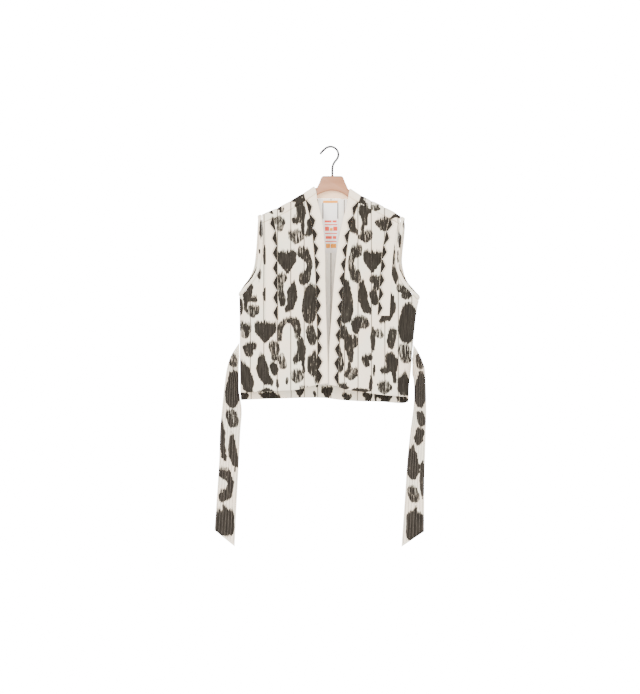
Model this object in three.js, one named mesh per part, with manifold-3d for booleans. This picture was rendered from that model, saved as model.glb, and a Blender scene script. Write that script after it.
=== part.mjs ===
// A cropped, quilted waistcoat with tie belts, hung flat on a wooden hanger.
// Millimetres, +Z up. The front faces -Y, and +X is on the right as the front is looked at.
// The origin is on the underside of the hook's wire, where the hook rests on its rod.
import * as THREE from 'three';
import Module from 'manifold-3d';
import { mergeVertices } from 'three/addons/utils/BufferGeometryUtils.js';

const wasm = await Module();
wasm.setup();

// Cloth
const WALL = 3.2;             // printed shell, wadding and lining together
const PUFF = 1.4;             // how far a channel swells between two quilting lines
const CHANNEL = 36.7;         // from one quilting line to the next
const SEAM_GAP = 0.3;         // between two pieces that are sewn together
const BAND_THICK = 3.8;       // plain band on the fronts and round the neck
const BINDING_WIDTH = 10.5;
const BINDING_THICK = 4.4;
const BINDING_GAP = 0.9;      // the binding's edge bulges a little between its stations
const TRIM_THICK = 1.0;       // sawtooth trim
const TRIM_ROOT = 2;          // the trim's straight edge, below its teeth
const STRIP_THICK = 1.2;      // plain strip that lies on each chest
const LABEL_THICK = 0.8;
const TIE_THICK = 2.4;

// How the body hangs
const FOLD_HALF = 8.5;        // half the inside depth where the cloth turns over the hanger
const FOLD_DROP = 4;          // height of that turn
const BODY_HALF = 30;         // half the inside depth at the waist
const SWELL_DROP = 260;       // how far down the body reaches that depth
const WAVE = 2;               // soft waves of the hanging cloth at the hem
const WAVE_LENGTH = 175;
const WAVE_DROP = 560;
const SHOULDER_SLOPE = 0.5;   // radians
const SHOULDER_TURN = 21;     // the back's share that comes over to the front
const LOWEST_ROW = -712;

// Hanger
const HANGER_THICK = 12;
const HANGER_BEVEL = 3;
const HANGER_CLEAR = 0.7;     // from the fold's inside down to the wood
const ARM_DEEP = 27;
const ARM_DEEP_END = 20;
const ARM_REACH = 184;
const WIRE = 4;
const STEM_X = 3.7;
const STEM_IN_HEAD = 18;
const HEAD_TOP = -77.6;
const HOOK = { x: -1.3, z: -18.5, radius: 20.5 };

const FRONT = -1;
const BACK = 1;
const LEFT = -1;
const RIGHT = 1;

// Outside of the shoulders, from the left armhole over the neck to the right armhole
const RIDGE = [
  { x: -201, z: -187 }, { x: -161, z: -172 }, { x: -112, z: -147 }, { x: -68, z: -120.5 },
  { x: -46, z: -106 }, { x: 0, z: -78 }, { x: 50, z: -110.6 }, { x: 85, z: -133 },
  { x: 124, z: -152 }, { x: 163, z: -172 }, { x: 202, z: -194 },
];

// Distance of each side from the middle, under the arm and down to the hem
const SIDE_EDGE = {
  [LEFT]: [
    { z: -397, out: 253 }, { z: -442, out: 251.6 }, { z: -673, out: 249.5 }, { z: -705, out: 247 },
  ],
  [RIGHT]: [
    { z: -407, out: 245 }, { z: -440, out: 237 }, { z: -516, out: 228 }, { z: -600, out: 221 },
    { z: -650, out: 215 }, { z: -705, out: 213 },
  ],
};

// Armhole edges: out is the front's distance from the middle, and the back's is wider by back
const ARMHOLE = {
  [LEFT]: [
    { z: -226, out: 198, back: 5 }, { z: -262, out: 197, back: 8 }, { z: -296, out: 200, back: 8 },
    { z: -329, out: 205, back: 8 }, { z: -356, out: 218, back: 6 }, { z: -378, out: 236.5, back: 3 },
  ],
  [RIGHT]: [
    { z: -217, out: 200, back: 4 }, { z: -254, out: 193, back: 8 }, { z: -291, out: 188, back: 9 },
    { z: -318, out: 186.5, back: 10 }, { z: -346, out: 193, back: 9 }, { z: -368, out: 204, back: 7 },
    { z: -387, out: 222, back: 4 },
  ],
};

// Centre front edge and the seam between band and front, as x at each height
const BAND_EDGE = {
  [LEFT]: [
    { z: -105, x: -46 }, { z: -121, x: -40.5 }, { z: -147, x: -37 }, { z: -187, x: -26.5 },
    { z: -246, x: -18.5 },
    { z: -295, x: -16 }, { z: -368, x: -15.5 }, { z: -442, x: -13.5 }, { z: -516, x: -11 },
    { z: -604, x: -8.5 }, { z: -647, x: -8.5 },
  ],
  [RIGHT]: [
    { z: -110, x: 50.5 }, { z: -125, x: 49 }, { z: -157, x: 43 }, { z: -206, x: 30.5 },
    { z: -265, x: 18.5 },
    { z: -334, x: 11 }, { z: -393, x: 6 }, { z: -467, x: 1 }, { z: -540, x: -4 },
    { z: -604, x: -6 }, { z: -651, x: -5 },
  ],
};
const BAND_SEAM = {
  [LEFT]: [
    { z: -142, x: -70.5 }, { z: -183, x: -60 }, { z: -222, x: -52 }, { z: -266, x: -48 },
    { z: -301, x: -45 }, { z: -339, x: -43 }, { z: -501, x: -38 }, { z: -650, x: -36 },
  ],
  [RIGHT]: [
    { z: -147, x: 77 }, { z: -171, x: 69 }, { z: -206, x: 57 }, { z: -265, x: 45 },
    { z: -334, x: 38 }, { z: -393, x: 33 }, { z: -467, x: 28 }, { z: -540, x: 23.5 },
    { z: -604, x: 21 }, { z: -655, x: 21.5 },
  ],
};

// Back neck band: its upper and lower edge, from the left shoulder to the right one
const NECK = [
  { upX: -41, upZ: -112, downX: -71, downZ: -136 }, { upX: -37, upZ: -112.5, downX: -60, downZ: -139.5 },
  { upX: -30, upZ: -111, downX: -40, downZ: -139.5 }, { upX: -12, upZ: -110, downX: -15, downZ: -139 },
  { upX: 14, upZ: -110, downX: 16, downZ: -139 }, { upX: 34, upZ: -112, downX: 44, downZ: -141 },
  { upX: 43, upZ: -115, downX: 64, downZ: -144 }, { upX: 48.5, upZ: -117.5, downX: 77, downZ: -144 },
];

// Hems, as z at each x
const FRONT_HEM = {
  [LEFT]: [
    { x: -250, z: -673 }, { x: -146, z: -668 }, { x: -97, z: -665 }, { x: -58, z: -656 },
    { x: -38, z: -651 }, { x: -22, z: -647.5 }, { x: -8, z: -646 },
  ],
  [RIGHT]: [
    { x: -5, z: -651 }, { x: 12, z: -654 }, { x: 36, z: -663 }, { x: 85, z: -670.5 },
    { x: 134, z: -678 }, { x: 212, z: -685 },
  ],
};
const BACK_HEM = [
  { x: -247, z: -694 }, { x: -193, z: -692 }, { x: -140, z: -690.5 }, { x: -26, z: -688.6 },
  { x: 31, z: -695 }, { x: 79, z: -698 }, { x: 135, z: -699 }, { x: 199, z: -703 }, { x: 214, z: -697 },
];

// Sawtooth trims: pitch and reach of the teeth, and where each trim starts and ends
const TOOTH_PITCH = 38.7;
const TOOTH_REACH = 12.5;
const FRONT_TRIM = { [LEFT]: { top: -145, bottom: -648 }, [RIGHT]: { top: -149, bottom: -652 } };

// Chest strips: outer edge, and inner edge, which carries the trim, as x at each height
const CHEST_OUTER = {
  [LEFT]: [{ z: -195, x: -182 }, { z: -250, x: -178.5 }, { z: -476, x: -177.5 }],
  [RIGHT]: [{ z: -200, x: 185 }, { z: -260, x: 174 }, { z: -330, x: 166 }, { z: -462, x: 159 }],
};
const CHEST_INNER = {
  [LEFT]: [{ z: -188, x: -158 }, { z: -229, x: -151 }, { z: -266, x: -147 }, { z: -476, x: -144 }],
  [RIGHT]: [{ z: -192, x: 160 }, { z: -230, x: 151 }, { z: -270, x: 142 }, { z: -330, x: 135 },
    { z: -462, x: 126 }],
};
const CHEST_BOTTOM = { [LEFT]: -476, [RIGHT]: -462 };

// Tie belts: the two edges of the ribbon, row by row from the side seam to the cut end
const TIE = {
  [LEFT]: [
    { outX: -252.6, outZ: -536, outY: 0, inX: -252.6, inZ: -577, inY: 0 },
    { outX: -262, outZ: -550, outY: 1, inX: -254, inZ: -592, inY: 3 },
    { outX: -274, outZ: -570, outY: 0, inX: -254, inZ: -616, inY: 8 },
    { outX: -284, outZ: -598, outY: -4, inX: -253.8, inZ: -640, inY: 13 },
    { outX: -291, outZ: -637, outY: -6, inX: -253.4, inZ: -668, inY: 15 },
    { outX: -299, outZ: -715, outY: -5, inX: -246, inZ: -722, inY: 13 },
    { outX: -305, outZ: -780, outY: -2, inX: -250, inZ: -784, inY: 8 },
    { outX: -308, outZ: -865, outY: 2, inX: -254, inZ: -872, inY: 4 },
    { outX: -315, outZ: -970, outY: 4, inX: -260, inZ: -985, inY: 0 },
    { outX: -321, outZ: -1052, outY: 3, inX: -265, inZ: -1096, inY: 0 },
  ],
  [RIGHT]: [
    { outX: 226.7, outZ: -542, outY: 0, inX: 223.4, inZ: -583, inY: 0 },
    { outX: 238, outZ: -560, outY: -9, inX: 223.8, inZ: -600, inY: 4 },
    { outX: 250, outZ: -586, outY: -18, inX: 224.5, inZ: -622, inY: 12 },
    { outX: 258, outZ: -618, outY: -22, inX: 229, inZ: -646, inY: 16 },
    { outX: 260, outZ: -700, outY: -22, inX: 228, inZ: -708, inY: 16 },
    { outX: 258, outZ: -780, outY: -20, inX: 219, inZ: -784, inY: 13 },
    { outX: 257, outZ: -860, outY: -14, inX: 210, inZ: -864, inY: 8 },
    { outX: 256, outZ: -940, outY: -8, inX: 204, inZ: -950, inY: 4 },
    { outX: 256, outZ: -1055, outY: -4, inX: 194, inZ: -1097, inY: 0 },
  ],
};

const LABEL = { left: -23.4, right: 20.2, top: -143.6, bottom: -287 };

// A smooth curve through the rows of a table, carried on straight past its ends
function curve(rows, from, to, at) {
  const last = rows.length - 1;
  const up = rows[last][from] > rows[0][from] ? 1 : -1;
  const slope = (i, j) => (rows[j][to] - rows[i][to]) / (rows[j][from] - rows[i][from]);
  if ((at - rows[0][from]) * up <= 0) return rows[0][to] + slope(0, 1) * (at - rows[0][from]);
  if ((at - rows[last][from]) * up >= 0) {
    return rows[last][to] + slope(last - 1, last) * (at - rows[last][from]);
  }
  const i = rows.findIndex((row, k) => k < last && (at - rows[k + 1][from]) * up < 0);
  const step = rows[i + 1][from] - rows[i][from];
  const t = (at - rows[i][from]) / step;
  const leave = slope(Math.max(0, i - 1), i + 1) * step;
  const arrive = slope(i, Math.min(last, i + 2)) * step;
  return rows[i][to] * (2 * t ** 3 - 3 * t ** 2 + 1) + leave * (t ** 3 - 2 * t ** 2 + t)
    + rows[i + 1][to] * (3 * t ** 2 - 2 * t ** 3) + arrive * (t ** 3 - t ** 2);
}

const smooth = (t) => THREE.MathUtils.smoothstep(t, 0, 1);
const mix = THREE.MathUtils.lerp;

// The inside of the cloth over the shoulders and at the sides
const ridge = (x) => curve(RIDGE, 'x', 'z', x) - WALL / Math.cos(SHOULDER_SLOPE);

function halfWidth(x, z) {
  const rows = SIDE_EDGE[x < 0 ? LEFT : RIGHT];
  return curve(rows, 'z', 'out', Math.min(z, rows[0].z)) - WALL;
}

// Half the depth of the hollow inside the garment
function halfDepth(x, z) {
  const drop = Math.max(0, ridge(x) - z);
  const share = Math.min(1, Math.abs(x) / halfWidth(x, z));
  const turn = 1 - Math.min(drop, FOLD_DROP) / FOLD_DROP;
  const rounded = Math.sqrt(1 - share ** 2.5);
  const fold = FOLD_HALF * Math.sqrt(1 - turn ** 2) * Math.sqrt(1 - share ** 8);
  const swell = (BODY_HALF - FOLD_HALF) * smooth(drop / SWELL_DROP);
  const wave = WAVE * smooth(drop / WAVE_DROP) * Math.sin((2 * Math.PI * x) / WAVE_LENGTH);
  return fold + (swell + wave) * rounded + SEAM_GAP / 2;
}

// A point of the front or the back, moved off the lining's face by a distance
function bodyPoint(atX, z, face, off) {
  const h = 0.2;
  const side = halfWidth(atX, z);
  const x = THREE.MathUtils.clamp(atX, -side, side);
  const slopeX = (halfDepth(x + h, z) - halfDepth(x - h, z)) / (2 * h);
  const slopeZ = (halfDepth(x, z + h) - halfDepth(x, z - h)) / (2 * h);
  const outward = new THREE.Vector3(-slopeX, face, -slopeZ).normalize();
  return new THREE.Vector3(x, face * halfDepth(x, z), z).addScaledVector(outward, off);
}

const puff = (x) => PUFF * Math.abs(Math.sin((Math.PI * x) / CHANNEL)) ** 0.7;

// A closed wall between two grids of points; looped when its last row joins its first
function wallGeometry(inner, outer, looped = false) {
  const columns = inner[0].length;
  const rows = inner.length;
  const points = [...inner.flat(), ...outer.flat()];
  const half = rows * columns;
  const triangles = [];
  const quad = (a, b, c, d) => triangles.push(a, b, c, a, c, d);
  const at = (i, j) => (i % rows) * columns + j;
  const rowSteps = looped ? rows : rows - 1;
  for (let i = 0; i < rowSteps; i += 1) {
    for (let j = 0; j < columns - 1; j += 1) {
      quad(at(i, j), at(i, j + 1), at(i + 1, j + 1), at(i + 1, j));
      quad(half + at(i, j), half + at(i + 1, j), half + at(i + 1, j + 1), half + at(i, j + 1));
    }
    quad(at(i, 0), at(i + 1, 0), half + at(i + 1, 0), half + at(i, 0));
    const j = columns - 1;
    quad(at(i + 1, j), at(i, j), half + at(i, j), half + at(i + 1, j));
  }
  for (let j = 0; j < columns - 1 && !looped; j += 1) {
    const i = rows - 1;
    quad(at(0, j + 1), at(0, j), half + at(0, j), half + at(0, j + 1));
    quad(at(i, j), at(i, j + 1), half + at(i, j + 1), half + at(i, j));
  }
  const geometry = new THREE.BufferGeometry();
  geometry.setAttribute('position', new THREE.Float32BufferAttribute(
    points.flatMap((p) => [p.x, p.y, p.z]), 3));
  geometry.setIndex(triangles);
  return volume(geometry) < 0 ? turnedInsideOut(geometry) : geometry;
}

function volume(geometry) {
  const p = geometry.getAttribute('position');
  const index = geometry.getIndex().array;
  const [a, b, c] = [new THREE.Vector3(), new THREE.Vector3(), new THREE.Vector3()];
  let sum = 0;
  for (let k = 0; k < index.length; k += 3) {
    a.fromBufferAttribute(p, index[k]);
    b.fromBufferAttribute(p, index[k + 1]);
    c.fromBufferAttribute(p, index[k + 2]);
    sum += a.dot(b.cross(c)) / 6;
  }
  return sum;
}

function turnedInsideOut(geometry) {
  geometry.setIndex([...geometry.getIndex().array].reverse());
  return geometry;
}

// Closed geometry to a solid that can be joined or cut, and back
function solid(geometry) {
  geometry.deleteAttribute('normal');
  geometry.deleteAttribute('uv');
  const merged = mergeVertices(geometry, 1e-4);
  return new wasm.Manifold(new wasm.Mesh({
    numProp: 3,
    vertProperties: new Float32Array(merged.getAttribute('position').array),
    triVerts: new Uint32Array(merged.getIndex().array),
  }));
}

function largestBody(cut) {
  const bodies = cut.decompose().sort((a, b) => b.volume() - a.volume());
  const mesh = bodies[0].getMesh();
  const geometry = new THREE.BufferGeometry();
  geometry.setAttribute('position', new THREE.BufferAttribute(mesh.vertProperties, mesh.numProp));
  geometry.setIndex(new THREE.BufferAttribute(mesh.triVerts, 1));
  return geometry;
}

// An outline in x and z, as a prism through the front, the back or any span of y
function prism(outline, fromY, toY) {
  const shape = new THREE.Shape(outline.map((p) => new THREE.Vector2(p.x, p.z)));
  const geometry = new THREE.ExtrudeGeometry(shape, { depth: toY - fromY, bevelEnabled: false });
  geometry.rotateX(Math.PI / 2);
  geometry.translate(0, toY, 0);
  return solid(geometry);
}
const FAR = 200;

// Heights down a panel at one x, below the shoulder's turn
const ROW_STEPS = 14;
function panelHeight(x, firstDrop, step) {
  return mix(ridge(x) - firstDrop, LOWEST_ROW, step / ROW_STEPS);
}

// Columns of a panel: three to a channel, and closer together towards the side
const EVEN_CHANNELS = 5;
const COLUMNS_IN_CHANNEL = 3;
const SIDE_SHARES = [0.3, 0.6, 0.82, 0.95, 1];
function panelColumns(fromX) {
  const last = EVEN_CHANNELS * COLUMNS_IN_CHANNEL;
  const even = [];
  for (let k = -last; k <= last; k += 1) even.push((k * CHANNEL) / COLUMNS_IN_CHANNEL);
  const toSide = SIDE_SHARES.map((share) => ({ share }));
  const columns = [
    ...toSide.slice().reverse().map((c) => ({ ...c, side: LEFT })),
    ...even.map((x) => ({ x })),
    ...toSide.map((c) => ({ ...c, side: RIGHT })),
  ];
  return columns.filter((c) => fromX === undefined
    || (fromX < 0 ? c.side === LEFT || c.x <= fromX : c.side === RIGHT || c.x >= fromX));
}

function columnX(column, z) {
  if (column.side === undefined) return column.x;
  const start = EVEN_CHANNELS * CHANNEL;
  return column.side * mix(start, halfWidth(column.side, z), column.share);
}

// A quilted wall over the given rows; each row gives its face and its height at an x
function quiltedWall(rows, columns) {
  const place = (row, column, off) => {
    let x = columnX(column, row.height(columnX(column, LOWEST_ROW)));
    x = columnX(column, row.height(x));
    return bodyPoint(x, row.height(x), row.face, off(x));
  };
  const inner = rows.map((row) => columns.map((column) => place(row, column, () => 0)));
  const outer = rows.map((row) => columns.map((column) => place(row, column, (x) => WALL + puff(x))));
  return solid(wallGeometry(inner, outer));
}

// Drops below the ridge where the cloth turns over the hanger
const TURN_DROPS = [0.3, 1.3, FOLD_DROP];

function frontRows() {
  const first = SHOULDER_TURN + SEAM_GAP;
  const rows = [];
  for (let k = 0; k <= ROW_STEPS; k += 1) {
    rows.push({ face: FRONT, height: (x) => panelHeight(x, first, k) });
  }
  return rows;
}

function backRows() {
  const over = [SHOULDER_TURN, SHOULDER_TURN / 2, ...TURN_DROPS.slice().reverse()];
  const rows = over.map((drop) => ({ face: FRONT, height: (x) => ridge(x) - drop }));
  TURN_DROPS.forEach((drop) => rows.push({ face: BACK, height: (x) => ridge(x) - drop }));
  for (let k = 0; k <= ROW_STEPS; k += 1) {
    rows.push({ face: BACK, height: (x) => panelHeight(x, SHOULDER_TURN / 2, k) });
  }
  return rows;
}

// One armhole's edge on one face, from the shoulder's ridge to the side under the arm
function armholeEdge(side, face) {
  const tip = side === LEFT ? RIDGE[0].x : RIDGE[RIDGE.length - 1].x;
  const bottom = SIDE_EDGE[side][0];
  const points = [new THREE.Vector2(tip, ridge(tip))];
  ARMHOLE[side].forEach((row) => {
    const out = row.out + (face === BACK ? row.back : 0);
    points.push(new THREE.Vector2(side * out, row.z));
  });
  points.push(new THREE.Vector2(side * (bottom.out - WALL), bottom.z));
  return new THREE.SplineCurve(points);
}

// The same edge moved into the body by a width
const ARMHOLE_STEPS = 14;
function armholeInset(side, face, width) {
  const edge = armholeEdge(side, face);
  const points = [];
  for (let k = 0; k <= ARMHOLE_STEPS; k += 1) {
    const t = k / ARMHOLE_STEPS;
    const at = edge.getPoint(t);
    const along = edge.getTangent(t);
    const into = new THREE.Vector2(-side * -along.y, side * -along.x).normalize();
    if (k === ARMHOLE_STEPS) into.set(0, -1);
    const x = at.x + into.x * width;
    const z = k === 0 ? ridge(x) : at.y + into.y * width;
    const limit = halfWidth(side, z);
    points.push({ x: THREE.MathUtils.clamp(x, -limit, limit), z });
  }
  return points;
}

// A hem's points between two x values
function hemPoints(rows, fromX, toX, steps) {
  const points = [];
  for (let k = 0; k <= steps; k += 1) {
    const x = mix(fromX, toX, k / steps);
    points.push({ x, z: curve(rows, 'x', 'z', x) });
  }
  return points;
}

// Points of the seam between band and front, moved outwards by a gap
function seamPoints(side, gap, top, bottom, steps) {
  const points = [];
  for (let k = 0; k <= steps; k += 1) {
    const z = mix(top, bottom, k / steps);
    points.push({ x: curve(BAND_SEAM[side], 'z', 'x', z) + side * gap, z });
  }
  return points;
}

// Where the band's seam starts at the shoulder and ends at the hem
const BAND_STEPS = 18;
const seamTop = (side) => belowRidge(BAND_SEAM[side], SHOULDER_TURN + SEAM_GAP, 0).z;
const seamFoot = (side) => BAND_SEAM[side][BAND_SEAM[side].length - 1].z;

// Where a line given as x at each height passes a drop below the ridge
function belowRidge(rows, drop, shift) {
  let { x } = rows[0];
  for (let k = 0; k < 8; k += 1) x = curve(rows, 'z', 'x', ridge(x) - drop) + shift;
  return { x, z: ridge(x) - drop };
}

function frontPanel(side) {
  const reach = side * FAR * 2;
  const armhole = armholeInset(side, FRONT, BINDING_WIDTH + BINDING_GAP);
  const bottom = armhole[ARMHOLE_STEPS].z;
  const seam = seamPoints(side, SEAM_GAP / 2, seamTop(side), seamFoot(side), BAND_STEPS);
  const hemRows = FRONT_HEM[side];
  const outerX = side === LEFT ? hemRows[0].x : hemRows[hemRows.length - 1].x;
  const hem = hemPoints(hemRows, outerX, seam[BAND_STEPS].x, 8);
  const outline = [
    { x: seam[0].x, z: 0 }, { x: armhole[0].x, z: 0 }, ...armhole, { x: reach, z: bottom },
    { x: reach, z: hem[0].z }, ...hem, ...seam.slice(0, BAND_STEPS).reverse(),
  ];
  const wall = quiltedWall(frontRows(), panelColumns(side * 12));
  return largestBody(wall.intersect(prism(outline, -FAR, 0)));
}

function backPanel() {
  const left = armholeInset(LEFT, BACK, BINDING_WIDTH + BINDING_GAP);
  const right = armholeInset(RIGHT, BACK, BINDING_WIDTH + BINDING_GAP);
  const foot = (points) => points[ARMHOLE_STEPS].z;
  const hem = hemPoints(BACK_HEM, BACK_HEM[0].x, BACK_HEM[BACK_HEM.length - 1].x, 20);
  const outline = [
    { x: left[0].x, z: 0 }, { x: right[0].x, z: 0 }, ...right, { x: FAR * 2, z: foot(right) },
    { x: FAR * 2, z: hem[hem.length - 1].z }, ...hem.slice().reverse(),
    { x: -FAR * 2, z: hem[0].z }, { x: -FAR * 2, z: foot(left) }, ...left.slice().reverse(),
  ];
  const overShoulder = (side) => armholeInset(side, FRONT, BINDING_WIDTH + BINDING_GAP).slice(0, 4);
  const overLeft = overShoulder(LEFT);
  const overRight = overShoulder(RIGHT);
  const overShoulders = [
    { x: overLeft[0].x, z: 0 }, { x: overRight[0].x, z: 0 }, ...overRight, ...overLeft.reverse(),
  ];
  const overlap = 0.05;
  const cutter = prism(outline, 0, FAR).add(prism(overShoulders, -FAR, overlap));
  const neck = solid(stripGeometry(neckStations(2 * SEAM_GAP, SHOULDER_TURN + 2), NECK_CUT, false));
  return largestBody(quiltedWall(backRows(), panelColumns()).intersect(cutter).subtract(neck));
}

// A strip between two edges; each station gives both edges on its face of the body
function stripGeometry(stations, profile, looped) {
  const grid = (key) => stations.map((s) => profile.map((p) => {
    const x = mix(s.a.x, s.b.x, p.across);
    const z = mix(s.a.z, s.b.z, p.across);
    return bodyPoint(x, Math.min(z, ridge(x) - TURN_DROPS[0]), s.face, p[key]);
  }));
  return wallGeometry(grid('inside'), grid('outside'), looped);
}

function armholeBinding(side) {
  const stationsOn = (face) => {
    const edge = armholeEdge(side, face);
    const inner = armholeInset(side, face, BINDING_WIDTH);
    const stations = inner.map((b, k) => {
      const p = edge.getPoint(k / ARMHOLE_STEPS);
      return { face, a: { x: p.x, z: p.y }, b };
    });
    const [first, second] = stations;
    const turn = TURN_DROPS.map((drop) => ({
      face,
      a: { x: mix(first.a.x, second.a.x, 0.1), z: ridge(first.a.x) - drop },
      b: { x: first.b.x, z: ridge(first.b.x) - drop },
    }));
    return [...turn, ...stations.slice(1)];
  };
  const ring = [...stationsOn(FRONT), ...stationsOn(BACK).reverse()];
  const profile = [
    { across: 0, inside: 0, outside: 2.6 }, { across: 0.18, inside: 0, outside: BINDING_THICK },
    { across: 0.82, inside: 0, outside: BINDING_THICK }, { across: 1, inside: 0, outside: 3.4 },
  ];
  return stripGeometry(ring, profile, true);
}

// The band's section, and the deeper one that cuts its place out of the back
const NECK_CUT = [{ across: 0, inside: -1, outside: 7 }, { across: 1, inside: -1, outside: 7 }];
const BAND_PROFILE = [
  { across: 0, inside: 0, outside: BAND_THICK - 1 }, { across: 0.12, inside: 0, outside: BAND_THICK },
  { across: 0.88, inside: 0, outside: BAND_THICK }, { across: 1, inside: 0, outside: BAND_THICK - 0.6 },
];

function frontBand(side) {
  const rows = BAND_EDGE[side];
  const edgeTop = belowRidge(rows, SHOULDER_TURN + SEAM_GAP, 0).z;
  const edgeFoot = rows[rows.length - 1].z;
  const seam = seamPoints(side, -SEAM_GAP / 2, seamTop(side), seamFoot(side), BAND_STEPS);
  const stations = seam.map((b, k) => {
    const z = mix(edgeTop, edgeFoot, k / BAND_STEPS);
    return { face: FRONT, a: { x: curve(rows, 'z', 'x', z), z }, b };
  });
  return stripGeometry(stations, BAND_PROFILE, false);
}

// The neck band's stations, from one forward shoulder seam round the back to the other
function neckStations(seamShift, firstDrop) {
  const overShoulder = (side) => {
    const station = (face, drop) => ({
      face,
      a: belowRidge(BAND_EDGE[side], drop, 0),
      b: belowRidge(BAND_SEAM[side], drop, side * seamShift),
    });
    const peak = station(BACK, 0);
    const behind = (drop) => ({
      face: BACK,
      a: { x: peak.a.x, z: ridge(peak.a.x) - drop },
      b: { x: peak.b.x, z: ridge(peak.b.x) - drop },
    });
    const fold = TURN_DROPS.slice().reverse();
    return [
      ...[firstDrop, SHOULDER_TURN / 2, ...fold].map((drop) => station(FRONT, drop)),
      ...TURN_DROPS.map(behind),
    ];
  };
  const round = NECK.map((row) => ({
    face: BACK,
    a: { x: row.upX, z: row.upZ },
    b: { x: row.downX + Math.sign(row.downX) * seamShift, z: row.downZ - seamShift },
  }));
  return [...overShoulder(LEFT), ...round, ...overShoulder(RIGHT).reverse()];
}

function neckBand() {
  return stripGeometry(neckStations(-SEAM_GAP / 2, SHOULDER_TURN), BAND_PROFILE, false);
}

// A thin layer over part of the front, from which a trim is cut
function frontLayer(edgeA, edgeB, top, bottom, inside, outside) {
  const steps = 16;
  const stations = [];
  for (let k = 0; k <= steps; k += 1) {
    const z = mix(top, bottom, k / steps);
    stations.push({ face: FRONT, a: { x: edgeA(z), z }, b: { x: edgeB(z), z } });
  }
  const profile = [0, 0.5, 1].map((across) => ({ across, inside, outside }));
  return solid(stripGeometry(stations, profile, false));
}

// A row of teeth on a base line, pointing to one side of it
function teethOutline(baseX, top, bottom, towards, phase) {
  const count = Math.round((top - bottom) / TOOTH_PITCH);
  const pitch = (top - bottom) / count;
  const base = (z) => ({ x: baseX(z), z });
  const valley = (z) => ({ x: baseX(z) + towards * TRIM_ROOT, z });
  const teeth = [valley(top)];
  for (let k = 0; k < count; k += 1) {
    const tipZ = top - (k + phase) * pitch;
    teeth.push({ x: baseX(tipZ) + towards * TOOTH_REACH, z: tipZ });
    teeth.push(valley(top - (k + 1) * pitch));
  }
  const back = [];
  for (let k = 0; k <= count; k += 1) back.push(base(bottom + k * pitch));
  return [...teeth, ...back];
}

function frontTrim(side) {
  const { top, bottom } = FRONT_TRIM[side];
  const base = (z) => curve(BAND_SEAM[side], 'z', 'x', z) - side * SEAM_GAP;
  const reach = (z) => base(z) - side * (TOOTH_REACH + 3);
  const layer = frontLayer(base, reach, top + 5, bottom - 5,
    BAND_THICK + SEAM_GAP, BAND_THICK + SEAM_GAP + TRIM_THICK);
  return largestBody(layer.intersect(prism(teethOutline(base, top, bottom, -side, 0.45), -FAR, 0)));
}

const STRIP_INSIDE = WALL + PUFF + SEAM_GAP;
function chestStrip(side) {
  const stations = [];
  const steps = 10;
  for (let k = 0; k <= steps; k += 1) {
    const height = (x) => mix(ridge(x) - SHOULDER_TURN - SEAM_GAP, CHEST_BOTTOM[side], k / steps);
    const edge = (rows) => {
      const z = height(rows[0].x);
      return { x: curve(rows, 'z', 'x', z), z };
    };
    stations.push({ face: FRONT, a: edge(CHEST_INNER[side]), b: edge(CHEST_OUTER[side]) });
  }
  const profile = [0, 0.5, 1].map((across) => (
    { across, inside: STRIP_INSIDE, outside: STRIP_INSIDE + STRIP_THICK }));
  return stripGeometry(stations, profile, false);
}

function chestTrim(side) {
  const top = CHEST_INNER[side][0].z - 2;
  const bottom = CHEST_BOTTOM[side] + 1;
  const base = (z) => curve(CHEST_INNER[side], 'z', 'x', z) + side * SEAM_GAP;
  const reach = (z) => base(z) + side * (TOOTH_REACH + 3);
  const inside = STRIP_INSIDE + STRIP_THICK + SEAM_GAP;
  const layer = frontLayer(base, reach, top + 3, bottom - 3, inside, inside + TRIM_THICK);
  return largestBody(layer.intersect(prism(teethOutline(base, top, bottom, side, 0.5), -FAR, 0)));
}

function label() {
  const stations = [];
  const steps = 5;
  for (let k = 0; k <= steps; k += 1) {
    const z = mix(LABEL.top, LABEL.bottom, k / steps);
    stations.push({ face: BACK, a: { x: LABEL.left, z }, b: { x: LABEL.right, z } });
  }
  const profile = [0, 0.5, 1].map((across) => (
    { across, inside: -SEAM_GAP - LABEL_THICK, outside: -SEAM_GAP }));
  return stripGeometry(stations, profile, false);
}

// A tie belt: a flat ribbon through the rows of its table, with some rows between them
function tie(side) {
  const rows = TIE[side];
  const edge = (key) => new THREE.CatmullRomCurve3(rows.map((r) => (
    new THREE.Vector3(r[`${key}X`], r[`${key}Y`], r[`${key}Z`]))));
  const [outer, inner] = [edge('out'), edge('in')];
  const steps = 22;
  const middle = [];
  for (let k = 0; k <= steps; k += 1) {
    const [a, b] = [outer.getPoint(k / steps), inner.getPoint(k / steps)];
    middle.push([0, 0.5, 1].map((t) => a.clone().lerp(b, t)));
  }
  const offset = (distance) => middle.map((row, k) => row.map((p, j) => {
    const down = middle[Math.min(steps, k + 1)][j].clone().sub(middle[Math.max(0, k - 1)][j]);
    const across = row[2].clone().sub(row[0]);
    return p.clone().addScaledVector(across.cross(down).normalize(), distance);
  }));
  return wallGeometry(offset(-TIE_THICK / 2), offset(TIE_THICK / 2));
}

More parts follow.
